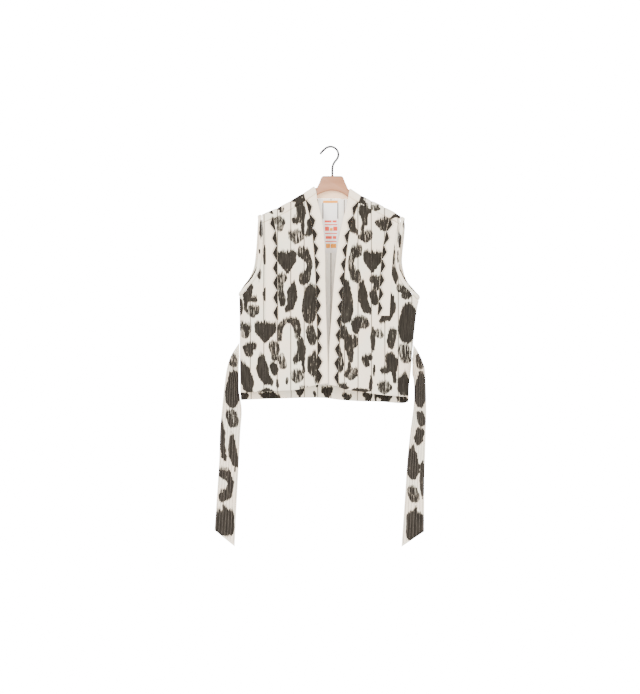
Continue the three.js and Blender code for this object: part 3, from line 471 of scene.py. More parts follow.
TURN_CHART = [
    ("blot", -88, -149, 44, 40, 0.3, 1), ("oval", -73, -138, 18, 22, 0.4, 1),
    ("blot", -138, -171, 19, 17, 0.5, 1), ("arc", -171, -178, 24, 12, 0.2, 1),
    ("blot", 85, -142, 34, 28, 0.2, -1), ("oval", 121, -166, 29, 16, 0.55, 1),
    ("arc", 176, -190, 26, 12, 0.2, 1), ("oval", 97, -160, 12, 14, 0.4, 1),
]
LEFT_BINDING_CHART = [
    ("lens", -192, -226, 9, 48, 0.2, 1), ("lens", -195, -285, 5, 18, 0.5, 1),
    ("lens", -200, -352, 4, 20, 0.6, 1),
    ("line", [[(-204, -328, 1.5), (-207, -337, 3.2), (-217, -355, 4), (-230, -370, 4), (-243, -384, 4.4),
               (-252, -395, 4)]], 0.15),
]
RIGHT_BINDING_CHART = [
    ("lens", 188, -258, 9, 48, 0.2, 1), ("lens", 182, -305, 5, 22, 0.5, 1),
    ("line", [[(187, -322, 1.5), (190, -337, 3.2), (197, -352, 3.6), (207, -368, 3)],
              [(214, -381, 2.6), (226, -391, 4), (238, -402, 3)]], 0.3),
    ("lens", 183, -286, 4, 30, 0.4, 1), ("lens", 200, -212, 7, 26, 0.4, 1),
]
LEFT_TIE_CHART = [
    ("oval", -270, -584, 27, 36, 0.55, 1), ("spindle", -271, -664, 39, 98, 0.1, 1),
    ("oval", -272, -744, 33, 50, 0.4, 1), ("comma", -297, -806, 20, 108, 0.15, -1),
    ("bean", -266, -832, 32, 88, 0.1, 1), ("cee", -290, -926, 43, 90, 0.15, -1),
    ("block", -292, -1024, 49, 80, 0.1, 1), ("lens", -264, -880, 6, 26, 0.5, 1),
]
RIGHT_TIE_CHART = [
    ("oval", 244, -586, 23, 42, 0.55, 1), ("spindle", 246, -666, 28, 94, 0.15, 1),
    ("oval", 248, -744, 23, 42, 0.2, 1), ("oval", 243, -792, 26, 48, 0.15, -1),
    ("drop", 225, -864, 33, 92, 0.15, 1), ("lens", 251, -909, 15, 98, 0.3, 1),
    ("oval", 227, -953, 32, 43, 0.45, 1), ("block", 231, -1034, 45, 88, 0.1, -1),
    ("oval", 221, -1085, 7, 5, 0.8, 1),
]
BACK_HEM_CHART = [
    ("blot", -242, -684, 30, 30, 0.3, 1), ("oval", -168, -682, 58, 22, 0.3, 1),
    ("wedge", -88, -674, 28, 28, 0.2, 1), ("oval", -45, -678, 10, 20, 0.5, 1),
    ("heart", -11, -674, 30, 34, 0.15, 1), ("blot", 43, -686, 28, 22, 0.4, 1),
    ("blot", 101, -686, 26, 28, 0.3, 1), ("blot", 148, -689, 40, 30, 0.2, 1),
    ("oval", 197, -691, 32, 26, 0.3, 1),
]


# The back's marks, in the order in which they are set out: mark, width and height
BACK_MARKS = [
    ("head", 36, 50), ("spindle", 38, 104), ("heart", 52, 60), ("blot", 36, 42), ("comma", 30, 64),
    ("arch", 58, 66), ("oval", 24, 40), ("cee", 38, 86), ("ring", 38, 36), ("bean", 36, 70),
]
BACK_PALE = (0.1, 0.5, 0.2, 0.6)
# Columns of marks on each side of the middle one, their distance, and the room below each mark
COLUMNS, COLUMN_PITCH, MARK_ROOM = 4, 54.0, 22
BACK_TOP, BACK_FOOT = -152.0, -600


def back_chart():
    """The back's own marks, set out afresh in staggered columns with a thin mark beside each."""
    rows = []
    for column in range(-COLUMNS, COLUMNS + 1):
        x = COLUMN_PITCH * column + 7 * math.sin(2.3 * column)
        z = BACK_TOP - 0.24 * abs(x) - 26 * (column % 2)
        step = 0
        while z > BACK_FOOT:
            kind, wide, high = BACK_MARKS[(3 * column + 7 * step) % len(BACK_MARKS)]
            pale = BACK_PALE[(column + step) % len(BACK_PALE)]
            turned = 1 if (column + step) % 2 else -1
            rows.append((kind, x + 9 * math.sin(5.1 * step + column), z - high / 2, wide, high, pale, turned))
            z -= high + MARK_ROOM
            rows.append(("lens", x + 27 * math.cos(step * 2.0 + column), z + 14, 9, 36, 0.35, 1))
            step += 1
    return rows


# Every mark is drawn larger by this factor, and its feathering is full from this width or height on
SPREAD = 1.11
FULL_FEATHER = 26.0
# Width that counts for a line, and how far round its box a mark is worked out
LINE_WIDTH = 12.0
ROUND_X, ROUND_Z = 16, 20
# Value far outside all marks
OUTSIDE = -40.0
# How far apart a mark's slope is measured, and how feathered its lower edge is beside its upper one
SLOPE_STEP = 1.5
LOWER_EDGE = 0.6


def mark_box(kind):
    """Lowest and highest x and z that a mark's strokes reach."""
    spots = np.array([spot for stroke in MARKS[kind] for spot in stroke])
    return [((spots[:, k] - spots[:, 2]).min(), (spots[:, k] + spots[:, 2]).max()) for k in (0, 1)]


def strokes_field(u, v, strokes):
    """How far inside the nearest stroke each point lies, in the strokes' own unit."""
    field = np.full(len(u), OUTSIDE)
    for stroke in strokes:
        for (ax, az, ar), (bx, bz, br) in zip(stroke, stroke[1:]):
            dx, dz = bx - ax, bz - az
            t = np.clip(((u - ax) * dx + (v - az) * dz) / (dx * dx + dz * dz + 1e-9), 0, 1)
            field = np.maximum(field, mix(ar, br, t) - np.hypot(u - ax - t * dx, v - az - t * dz))
    return field


def marks_field(x, z, rows):
    """Distance inside the nearest mark, how pale that mark is and how large."""
    best = np.full(len(x), OUTSIDE)
    pale, large = np.zeros(len(x)), np.ones(len(x))
    for kind, *row in rows:
        if kind == "line":
            strokes, streaky = row
            near = np.arange(len(x))
            field = strokes_field(x, z, strokes)
            size = LINE_WIDTH
        else:
            cx, cz, wide, high, streaky, turned = row
            beside, above = np.abs(x - cx) - wide / 2, np.abs(z - cz) - high / 2
            near = np.nonzero((beside < ROUND_X) & (above < ROUND_Z))[0]
            if not len(near):
                continue
            (low_u, high_u), (low_v, high_v) = mark_box(kind)
            u = mix(low_u, high_u, 0.5 + turned * (x[near] - cx) / (wide * SPREAD))
            v = mix(low_v, high_v, 0.5 + (z[near] - cz) / (high * SPREAD))
            size = min(wide, high)
            field = strokes_field(u, v, MARKS[kind]) * size / 2
        closer = field > best[near]
        best[near[closer]] = field[closer]
        pale[near[closer]] = streaky
        large[near[closer]] = min(1.0, size / FULL_FEATHER)
    return best, pale, large


def add_print(obj, x, z, face, chart):
    """Each point's distance inside a mark, how far threads run out of the mark there and its paleness."""
    value, rise, pale = np.empty(len(x)), np.empty(len(x)), np.empty(len(x))
    for rows, chosen in chart(face):
        value[chosen], pale[chosen], large = marks_field(x[chosen], z[chosen], rows)
        above = marks_field(x[chosen], z[chosen] + SLOPE_STEP, rows)[0]
        beside = marks_field(x[chosen] + SLOPE_STEP, z[chosen], rows)[0]
        slope, lean = (value[chosen] - above) / SLOPE_STEP, (value[chosen] - beside) / SLOPE_STEP
        slope = slope / np.sqrt(np.hypot(slope, lean) + 0.0001)
        rise[chosen] = np.where(slope > 0, slope, -LOWER_EDGE * slope) * large
    add_values(obj, "print", value)
    add_values(obj, "rise", np.clip(rise, 0, 1))
    add_values(obj, "pale", pale)


def one_chart(rows):
    """The same marks for all points of a piece."""
    return lambda face: [(rows, np.ones(len(face), bool))]


def back_charts(face):
    """Marks for the back's share of the front of the shoulders, and for the back itself."""
    return [(TURN_CHART, face < 0), (back_chart() + BACK_HEM_CHART, face > 0)]


# Shader groups and materials

class Tree:
    """Short ways to add nodes to one shader tree."""

    def __init__(self, tree):
        self.tree = tree

    def put(self, socket, value):
        if isinstance(value, bpy.types.NodeSocket):
            self.tree.links.new(value, socket)
        else:
            socket.default_value = value

    def math(self, operation, *values):
        node = self.tree.nodes.new("ShaderNodeMath")
        node.operation = operation
        for socket, value in zip(node.inputs, values):
            self.put(socket, value)
        return node.outputs[0]

    def step(self, value, low, high, to_low=0.0, to_high=1.0):
        node = self.tree.nodes.new("ShaderNodeMapRange")
        node.interpolation_type = "SMOOTHSTEP"
        for socket, number in zip(node.inputs, (value, low, high, to_low, to_high)):
            self.put(socket, number)
        return node.outputs[0]

    def scaled(self, vector, factors, shift=(0, 0, 0)):
        node = self.tree.nodes.new("ShaderNodeMapping")
        self.put(node.inputs["Vector"], vector)
        node.inputs["Scale"].default_value = factors
        node.inputs["Location"].default_value = shift
        return node.outputs[0]

    def noise(self, vector, scale=1.0, detail=2.0, roughness=0.5):
        node = self.tree.nodes.new("ShaderNodeTexNoise")
        self.put(node.inputs["Vector"], vector)
        self.put(node.inputs["Scale"], scale)
        node.inputs["Detail"].default_value = detail
        node.inputs["Roughness"].default_value = roughness
        return node.outputs["Fac"]

    def parts(self, vector):
        node = self.tree.nodes.new("ShaderNodeSeparateXYZ")
        self.put(node.inputs[0], vector)
        return node.outputs

    def place(self):
        return self.tree.nodes.new("ShaderNodeTexCoord").outputs["Object"]

    def value(self, name):
        node = self.tree.nodes.new("ShaderNodeAttribute")
        node.attribute_name = name
        return node.outputs["Vector"] if name == "cloth" else node.outputs["Fac"]

    def blend(self, share, first, second):
        node = self.tree.nodes.new("ShaderNodeMix")
        node.data_type = "RGBA"
        self.put(node.inputs["Factor"], share)
        self.put(node.inputs["A"], first)
        self.put(node.inputs["B"], second)
        return node.outputs["Result"]

    def group(self, tree, **values):
        node = self.tree.nodes.new("ShaderNodeGroup")
        node.node_tree = tree
        for name, value in values.items():
            self.put(node.inputs[name.replace("_", " ").capitalize()], value)
        return node.outputs


def new_group(name, inputs, outputs):
    tree = bpy.data.node_groups.new(name, "ShaderNodeTree")
    for label, kind, default in inputs:
        socket = tree.interface.new_socket(label, in_out="INPUT", socket_type=kind)
        if default is not None:
            socket.default_value = default
    for label, kind in outputs:
        tree.interface.new_socket(label, in_out="OUTPUT", socket_type=kind)
    return tree, tree.nodes.new("NodeGroupInput").outputs, tree.nodes.new("NodeGroupOutput").inputs


def print_group():
    """Dyed-thread print: marks with feathered tops and bottoms and threads showing through."""
    tree, given, out = new_group("Thread print", [
        ("Cloth", "NodeSocketVector", None), ("Distance", "NodeSocketFloat", 0.0),
        ("Rise", "NodeSocketFloat", 0.0), ("Pale", "NodeSocketFloat", 0.0),
        ("Feather", "NodeSocketFloat", 9.0),
    ], [("Ink", "NodeSocketFloat")])
    t = Tree(tree)
    # Tops and bottoms of marks run out along the threads, which is noise drawn out along z
    steep = t.math("POWER", given["Rise"], 1.6)
    thread = t.noise(t.scaled(given["Cloth"], (0.72, 0.026, 0.3)), detail=3.0, roughness=0.7)
    spread = t.math("MULTIPLY", t.math("SUBTRACT", thread, 0.5), given["Feather"])
    # All edges wander a little
    wander = t.noise(t.scaled(given["Cloth"], (0.11, 0.09, 0.3), (7, 3, 0)), detail=1.0)
    small = t.math("MULTIPLY", t.math("SUBTRACT", wander, 0.5), 4.0)
    edge = t.math("ADD", given["Distance"], t.math("ADD", t.math("MULTIPLY", spread, steep), small))
    filled = t.step(edge, -0.35, 0.55)
    # Undyed threads show through, the more the paler a mark is
    streak = t.noise(t.scaled(given["Cloth"], (0.75, 0.03, 0.3), (31, 5, 0)), detail=3.0, roughness=0.65)
    limit = t.math("SUBTRACT", 0.8, t.math("MULTIPLY", given["Pale"], 0.335))
    shown = t.math("SUBTRACT", 1.0, t.step(t.math("SUBTRACT", streak, limit), -0.04, 0.05))
    fine = t.step(streak, 0.42, 0.66, 1.0, 0.975)
    t.put(out["Ink"], t.math("MULTIPLY", filled, t.math("MULTIPLY", shown, fine)))
    return tree


def weave_group():
    """Plain weave: a height of threads, slubs and crumples, and a tint that varies with the slubs."""
    tree, given, out = new_group("Cotton weave", [
        ("Cloth", "NodeSocketVector", None), ("Pitch", "NodeSocketFloat", 0.7),
    ], [("Height", "NodeSocketFloat"), ("Tint", "NodeSocketFloat")])
    t = Tree(tree)
    at = t.parts(given["Cloth"])
    turn = t.math("DIVIDE", 2 * math.pi, given["Pitch"])
    warp = t.math("SINE", t.math("MULTIPLY", at["X"], turn))
    weft = t.math("SINE", t.math("MULTIPLY", at["Y"], turn))
    threads = t.math("MULTIPLY", warp, weft)
    slub = t.noise(t.scaled(given["Cloth"], (0.16, 0.9, 0.3)), detail=3.0)
    crumple = t.noise(given["Cloth"], 0.12, 3.0)
    height = t.math("ADD", t.math("MULTIPLY", threads, 0.05), t.math("MULTIPLY", slub, 0.16))
    t.put(out["Height"], t.math("ADD", height, t.math("MULTIPLY", crumple, 0.7)))
    t.put(out["Tint"], t.step(slub, 0.3, 0.7, 0.955, 1.0))
    return tree


def grain_group():
    """Wood grain: long soft lines along the piece's x."""
    tree, given, out = new_group("Pale grain", [
        ("Place", "NodeSocketVector", None), ("Lines", "NodeSocketFloat", 60.0),
    ], [("Grain", "NodeSocketFloat")])
    t = Tree(tree)
    along = t.scaled(given["Place"], (4, 90, 90))
    t.put(out["Grain"], t.noise(along, t.math("DIVIDE", given["Lines"], 60.0), 5.0))
    return tree


PRINT, WEAVE, GRAIN = print_group(), weave_group(), grain_group()


def srgb(*levels):
    """Levels from 0 to 255, as a linear colour."""
    linear = [((c / 255 + 0.055) / 1.055) ** 2.4 if c > 10 else c / 3294.6 for c in levels]
    return (*linear, 1.0)


CREAM = srgb(237, 219, 195)
COOL_CREAM = srgb(231, 221, 199)
INK = (0.0128, 0.0102, 0.0076, 1.0)
LINING = srgb(249, 243, 232)
# Colour of the painted groove shade along the lines of quilting, which also carries the thread's dark tone
QUILT_LINE_SHADE = srgb(66, 58, 51)
# Painted groove shade along each line of quilting, dark as the quilting thread: how dark, and between which
# distances from the line it fades out
QUILT_LINE_SHADE_SHARE, QUILT_LINE_SHADE_CORE, QUILT_LINE_SHADE_REACH = 0.95, 0.4, 2.1


def material(name, roughness):
    """A new material, the short ways to its nodes, and its shader."""
    made = bpy.data.materials.new(name)
    made.use_nodes = True
    shader = made.node_tree.nodes["Principled BSDF"]
    shader.inputs["Roughness"].default_value = roughness
    return made, Tree(made.node_tree), shader


def bump(t, shader, height, distance):
    node = t.tree.nodes.new("ShaderNodeBump")
    node.inputs["Distance"].default_value = distance
    t.put(node.inputs["Height"], height)
    t.put(shader.inputs["Normal"], node.outputs[0])


def cotton(name, colour, printed=False, quilted=False, feather=46.0):
    """Matt woven cotton, with a print, and painted groove shade along the lines of quilting, where they are
    asked for.
    """
    made, t, shader = material(name, 0.92)
    cloth = t.value("cloth")
    weave = t.group(WEAVE, cloth=cloth)
    if printed:
        colour = t.blend(t.step(t.noise(cloth, 0.016, 1.0), 0.4, 0.6), colour, COOL_CREAM)
    shade = t.blend(weave["Tint"], srgb(0, 0, 0), colour)
    if quilted:
        # Painted shade in the groove along each line of quilting, dark as its thread, fading out a little way
        # from the line
        x = t.parts(cloth)["X"]
        share = t.math("DIVIDE", x, CHANNEL)
        away = t.math("ABSOLUTE", t.math("SUBTRACT", share, t.math("ROUND", share)))
        near = t.step(t.math("MULTIPLY", away, CHANNEL), QUILT_LINE_SHADE_CORE, QUILT_LINE_SHADE_REACH, QUILT_LINE_SHADE_SHARE, 0.0)
        shade = t.blend(near, shade, QUILT_LINE_SHADE)
    if printed:
        group = t.group(PRINT, cloth=cloth, distance=t.value("print"), rise=t.value("rise"),
                        pale=t.value("pale"), feather=feather)
        shade = t.blend(group["Ink"], shade, INK)
    t.put(shader.inputs["Base Color"], shade)
    shader.inputs["Specular IOR Level"].default_value = 0.12
    bump(t, shader, weave["Height"], 0.0012)
    return made


def label_material():
    """Satin label with a bar and a few plain blocks in soft orange and coral."""
    made, t, shader = material("woven_label", 0.6)
    cloth = t.value("cloth")
    weave = t.group(WEAVE, cloth=cloth, pitch=0.4)
    at = t.parts(cloth)
    shade = srgb(240, 235, 230)
    coral, orange, line = srgb(216, 58, 26), srgb(226, 138, 0), srgb(40, 35, 32)
    # Blocks: x and z of the middle, half width, half height and colour
    blocks = [(-1.6, -147.5, 21, 3.4, orange), (-22.1, -172, 1.3, 22, line), (18.9, -172, 1.3, 22, line),
              (-8, -201, 10, 3, coral), (10, -201, 6, 3, coral), (0, -210, 18, 1.6, coral),
              (-11, -221, 6, 6, coral), (1, -223, 4, 4, orange), (12, -221, 6, 6, coral),
              (0, -234, 17, 1.4, coral), (-6, -245, 9, 4, coral), (10, -245, 5, 4, coral),
              (0, -256, 16, 1.4, coral), (-8, -268, 6, 6, orange), (7, -268, 8, 6, orange)]
    for x, z, wide, high, colour in blocks:
        u = t.math("DIVIDE", t.math("SUBTRACT", at["X"], x), wide)
        v = t.math("DIVIDE", t.math("SUBTRACT", at["Y"], z), high)
        far = t.math("MAXIMUM", t.math("ABSOLUTE", u), t.math("ABSOLUTE", v))
        shade = t.blend(t.step(far, 0.94, 1.02, 1.0, 0.0), shade, colour)
    t.put(shader.inputs["Base Color"], shade)
    bump(t, shader, weave["Height"], 0.0002)
    return made


def thread_material(name, colour):
    made, t, shader = material(name, 0.7)
    shader.inputs["Base Color"].default_value = colour
    bump(t, shader, t.noise(t.place(), 2500.0), 0.0002)
    return made


def wood_material():
    made, t, shader = material("hanger_wood", 0.42)
    grain = t.group(GRAIN, place=t.place())["Grain"]
    shade = t.blend(t.step(grain, 0.3, 0.7), srgb(159, 106, 71), srgb(147, 96, 62))
    t.put(shader.inputs["Base Color"], shade)
    t.put(shader.inputs["Roughness"], t.step(grain, 0.3, 0.7, 0.38, 0.5))
    bump(t, shader, grain, 0.0002)
    return made


def steel_material():
    made, t, shader = material("hook_steel", 0.5)
    smudge = t.noise(t.place(), 90.0, 4.0)
    t.put(shader.inputs["Base Color"], t.blend(smudge, srgb(12, 11, 11), srgb(24, 23, 22)))
    t.put(shader.inputs["Roughness"], t.step(smudge, 0.3, 0.7, 0.42, 0.58))
    return made


QUILT = cotton("printed_quilt", CREAM, printed=True, quilted=True)
LINED = cotton("lining", LINING, quilted=True)
PLAIN = cotton("plain_cotton", srgb(245, 227, 202))
FACING = cotton("neck_facing", srgb(252, 214, 176))
BINDING = cotton("printed_binding", CREAM, printed=True, feather=20.0)
BELT = cotton("printed_belt", CREAM, printed=True)
CHARCOAL = cotton("charcoal_trim", INK)
SATIN = label_material()
PALE_THREAD = thread_material("pale_thread", srgb(243, 240, 235))
QUILT_THREAD = thread_material("quilting_thread", srgb(88, 79, 71))
DARK_THREAD = thread_material("dark_thread", INK)


# Pieces of the garment

def armhole_path(side, face, width, count=DOWN["binding"]):
    """The armhole's edge moved into the body by a width, from the shoulder to the underarm."""
    tip = RIDGE[0][0] if side == LEFT else RIDGE[-1][0]
    bottom = SIDE_EDGE[side][0]
    more = 1 if face > 0 else 0
    points = [(tip, float(ridge(tip)))]
    points += [(side * (out + more * wider), z) for z, out, wider in ARMHOLE[side]]
    points.append((side * (bottom[1] - WALL), bottom[0]))
    x, z = through(points, count)
    dx, dz = np.gradient(x), np.gradient(z)
    long = np.hypot(dx, dz)
    into_x, into_z = side * dz / long, -side * dx / long
    into_x[-1], into_z[-1] = 0, -1
    inner_x, inner_z = x + into_x * width, z + into_z * width
    inner_z[0] = ridge(inner_x[0])
    limit = half_width(inner_x, inner_z)
    return np.clip(inner_x, -limit, limit), inner_z


def outer_edge(side, face, z):
    """x of a panel's outer edge at each height: along the armhole's binding, then the side."""
    x, down = armhole_path(side, face, BINDING_WIDTH + BINDING_GAP)
    order = np.argsort(down)
    by_armhole = np.interp(z, down[order], x[order])
    return np.where(z > down[-1], by_armhole, side * half_width(side, z))


def fitted_grid(top, foot, inner, outer, across, along, face):
    """A grid between two side lines and two end lines, found by going back and forth a few times."""
    u, v = np.meshgrid(across, along)
    z = np.full(u.shape, START_Z)
    for _ in range(GRID_ROUNDS):
        x = mix(inner(z), outer(z), u)
        z = mix(top(x), foot(x), v)
    return x, z, np.full(u.shape, face)


def panel_outside(x, z, from_border):
    """Height of a quilted panel's outer face, where the padding flattens towards the border."""
    return WALL + quilting(x, z) * smooth(0.25 + from_border / 9)


def front_panel(side, mark):
    grid = fitted_grid(
        lambda x: ridge(x) - SHOULDER_TURN - SEAM_GAP, lambda x: curve(FRONT_HEM[side], x),
        lambda z: curve(BAND_SEAM[side], z) + side * SEAM_GAP / 2, lambda z: outer_edge(side, FRONT, z),
        spaced(ACROSS["front"]), spaced(DOWN["front"]), FRONT)
    chart = one_chart(LEFT_CHART if side == LEFT else RIGHT_CHART)
    return cloth_piece(f"front_{mark}", [grid], 0.0, panel_outside, [QUILT, LINED], chart)


def shoulder_grid(side):
    """The back's share of a shoulder, from its seam on the front over the ridge to the neck band's foot."""
    share = spaced(ACROSS["shoulder"])
    before = [*np.linspace(SHOULDER_TURN, FOLD_DROP, 8), *NEAR_RIDGE[::-1]]
    behind = [*NEAR_RIDGE, *np.linspace(FOLD_DROP, NECK_DROP[side], 5)]
    rows = []
    for face, drop in [(FRONT, d) for d in before] + [(BACK, d) for d in behind]:
        x = np.full(len(share), START_X * side)
        for _ in range(SHOULDER_ROUNDS):
            z = ridge(x) - drop
            seam = curve(BAND_SEAM[side], z) + side * SEAM_GAP / 2 if face < 0 else NECK_SEAM[side]
            x = mix(seam, outer_edge(side, face, z), share)
        rows.append((x, ridge(x) - drop, np.full(len(x), face)))
    return tuple(np.array(part) for part in zip(*rows))


def below_shoulders(left, right):
    """The rest of the back, from the foot of both shoulders and of the neck band to the hem."""
    neck_x = np.linspace(NECK_SEAM[LEFT], NECK_SEAM[RIGHT], ACROSS["neck"])[1:-1]
    neck_z = curve([row[2:] for row in NECK], neck_x)
    top_x = np.concatenate([left[0][-1][::-1], neck_x, right[0][-1]])
    top_z = np.concatenate([left[1][-1][::-1], neck_z, right[1][-1]])
    middle = (top_x >= NECK_SEAM[LEFT]) & (top_x <= NECK_SEAM[RIGHT])
    seam_x = np.where(top_x < 0, NECK_SEAM[LEFT], NECK_SEAM[RIGHT])
    share = (top_x - seam_x) / (np.where(top_x < 0, top_x[0], top_x[-1]) - seam_x)
    v = spaced(DOWN["back"])[:, None]
    z = np.full((len(v), len(top_x)), START_Z)
    for _ in range(GRID_ROUNDS):
        edge = np.where(top_x < 0, outer_edge(LEFT, BACK, z), outer_edge(RIGHT, BACK, z))
        x = np.where(middle, top_x, mix(seam_x, edge, share))
        z = mix(top_z, curve(BACK_HEM, x), v)
    x[0], z[0] = top_x, top_z
    return x, z, np.full(x.shape, BACK)


def back_panel():
    left, right = shoulder_grid(LEFT), shoulder_grid(RIGHT)
    grids = [left, right, below_shoulders(left, right)]
    return cloth_piece("back", grids, 0.0, panel_outside, [QUILT, LINED], back_charts,
                       facing_top=FACING_TOP)


def strip(a, b, face, across):
    """A grid between two edges, each an array of x and z, kept just below the shoulders' ridge."""
    t = np.asarray(across)[None, :]
    x = mix(a[0][:, None], b[0][:, None], t)
    z = mix(a[1][:, None], b[1][:, None], t)
    face = np.broadcast_to(np.asarray(face, float).reshape(-1, 1), x.shape)
    return x, np.minimum(z, ridge(x) - NEAR_RIDGE[0]), face


def below_ridge(rows, drop):
    """Where an edge line lies at a drop below the ridge."""
    x = rows[0][1]
    for _ in range(EDGE_ROUNDS):
        x = float(curve(rows, ridge(x) - drop))
    return x, float(ridge(x) - drop)


def front_band(side, mark):
    t = spaced(DOWN["band"])
    edges = []
    for rows, gap in ((BAND_EDGE[side], 0), (BAND_SEAM[side], side * SEAM_GAP / 2)):
        z = mix(below_ridge(rows, SHOULDER_TURN + SEAM_GAP)[1], rows[-1][0], t)
        edges.append((curve(rows, z) - gap, z))
    grid = strip(*edges, np.full(len(t), FRONT), spaced(ACROSS["band"]))
    # Fine puckers along the row of sewing
    ripple = lambda x, z, d: BAND_THICK + 0.18 * np.sin(z / 2.4) * np.exp(-((d - 4) / 2) ** 2)
    return cloth_piece(f"front_band_{mark}", [grid], 0.0, ripple, [PLAIN, PLAIN])


def neck_rows():
    """Stations of the neck band from one forward shoulder seam round the back to the other."""
    def shoulder(side):
        edge, seam = BAND_EDGE[side], BAND_SEAM[side]
        drops = (SHOULDER_TURN, 15, 10, 6, FOLD_DROP, *NEAR_RIDGE[::-1])
        found = [(FRONT, below_ridge(edge, drop), below_ridge(seam, drop)) for drop in drops]
        peaks = below_ridge(edge, 0)[0], below_ridge(seam, 0)[0]
        for drop in (*NEAR_RIDGE, FOLD_DROP):
            found.append((BACK, *((x, float(ridge(x)) - drop) for x in peaks)))
        return found
    up_x, up_z, down_x, down_z = through(NECK, DOWN["neck_band"])
    down_z = down_z + SEAM_GAP / 2
    round_back = [(BACK, (a, b), (c, d)) for a, b, c, d in zip(up_x, up_z, down_x, down_z)]
    return shoulder(LEFT) + round_back + shoulder(RIGHT)[::-1]


def neck_band():
    face, upper, lower = zip(*neck_rows())
    grid = strip(np.array(upper).T, np.array(lower).T, face, spaced(ACROSS["neck_band"]))
    return cloth_piece("neck_band", [grid], 0.0, BAND_THICK, [PLAIN, FACING], round_off=2.5)


def binding_grid(side):
    """Both edges of an armhole's binding, down the front and up the back, and the face of each point."""
    drops = [*NEAR_RIDGE, FOLD_DROP]
    sheets = {}
    for face in (FRONT, BACK):
        outer, inner = armhole_path(side, face, 0), armhole_path(side, face, BINDING_WIDTH)
        turn_a = [(outer[0][0], float(ridge(outer[0][0])) - d) for d in drops]
        turn_b = [(inner[0][0], float(ridge(inner[0][0])) - d) for d in drops]
        low = outer[1] < turn_a[-1][1] - 1
        keep = np.nonzero(low & (inner[1] < turn_b[-1][1] - 1))[0]
        a = np.array(turn_a + [(outer[0][k], outer[1][k]) for k in keep])
        b = np.array(turn_b + [(inner[0][k], inner[1][k]) for k in keep])
        sheets[face] = a, b, np.full(len(a), face)
    a, b, face = (np.concatenate([front, back[::-1], front[:1]])
                  for front, back in zip(sheets[FRONT], sheets[BACK]))
    return a.T, b.T, face


def armhole_binding(side, mark):
    grid = strip(*binding_grid(side), spaced(ACROSS["binding"]))
    # Fine puckers all over
    wavy = lambda x, z, d: BINDING_THICK + 0.25 * np.sin((z + 0.6 * x) / 2.6)
    chart = one_chart(LEFT_BINDING_CHART if side == LEFT else RIGHT_BINDING_CHART)
    return cloth_piece(f"armhole_binding_{mark}", [grid], 0.0, wavy, [BINDING, BINDING],
                       chart, round_off=4.0)


def teeth(base, top, bottom, towards, tip):
    """Rows down a toothed trim: heights, the base line's x and the cut edge's x."""
    count = round((top - bottom) / TOOTH_PITCH)
    pitch = (top - bottom) / count
    before, after = TOOTH_ROWS
    shares = np.concatenate([np.linspace(0, tip, before + 1)[:-1], np.linspace(tip, 1, after + 1)[:-1]])
    t = np.concatenate([k + shares for k in range(count)] + [[count]])
    part = t - np.floor(t)
    reach = np.where(part < tip, part / tip, (1 - part) / (1 - tip))
    z = top - t * pitch
    x = base(z)
    return z, x, x + towards * (TRIM_ROOT + (TOOTH_REACH - TRIM_ROOT) * reach)


def front_teeth(side):
    seam = lambda z: curve(BAND_SEAM[side], z) - side * SEAM_GAP
    return teeth(seam, *FRONT_TRIM[side], -side, FRONT_TIP)


def trim_piece(node, z, base, edge, inside):
    grid = strip((base, z), (edge, z), np.full(len(z), FRONT), np.linspace(0, 1, ACROSS["trim"]))
    return cloth_piece(node, [grid], inside, inside + TRIM_THICK, [CHARCOAL, CHARCOAL],
                       round_off=1.0)


def front_trim(side, mark):
    return trim_piece(f"front_trim_{mark}", *front_teeth(side), FRONT_TRIM_INSIDE)


def chest_strip(side, mark):
    t = spaced(DOWN["strip"])
    edges = []
    for rows in (CHEST_INNER[side], CHEST_OUTER[side]):
        z = mix(float(ridge(rows[0][1])) - SHOULDER_TURN - SEAM_GAP, CHEST_BOTTOM[side], t)
        edges.append((curve(rows, z), z))
    grid = strip(*edges, np.full(len(t), FRONT), spaced(ACROSS["strip"]))
    return cloth_piece(f"chest_strip_{mark}", [grid], STRIP_INSIDE,
                       STRIP_INSIDE + STRIP_THICK, [PLAIN, PLAIN], round_off=1.5)


def chest_teeth(side):
    edge = lambda z: curve(CHEST_INNER[side], z) + side * SEAM_GAP
    return teeth(edge, CHEST_INNER[side][0][0] - 2, CHEST_BOTTOM[side] + 1, side, CHEST_TIP)


def chest_trim(side, mark):
    return trim_piece(f"chest_trim_{mark}", *chest_teeth(side), CHEST_TRIM_INSIDE)


def label_piece():
    left, right, top, bottom = LABEL
    z = mix(top, bottom, spaced(DOWN["label"]))
    edges = [(np.full(len(z), x), z) for x in (left, right)]
    grid = strip(*edges, np.full(len(z), BACK), spaced(ACROSS["label"]))
    return cloth_piece("label", [grid], -SEAM_GAP - LABEL_THICK, -SEAM_GAP, [SATIN, SATIN],
                       round_off=0.8)


def tie_lines(side):
    """Both edges of a tie belt as points in space, evenly spread along it."""
    lanes = np.stack(through(TIE[side], 900), -1)
    middle = (lanes[:, :3] + lanes[:, 3:]) / 2
    length = np.concatenate([[0], np.cumsum(np.linalg.norm(np.diff(middle, axis=0), axis=1))])
    even = np.linspace(0, length[-1], DOWN["tie"])
    lanes = np.stack([np.interp(even, length, lane) for lane in lanes.T], -1)
    return lanes[:, [0, 2, 1]], lanes[:, [3, 5, 4]]


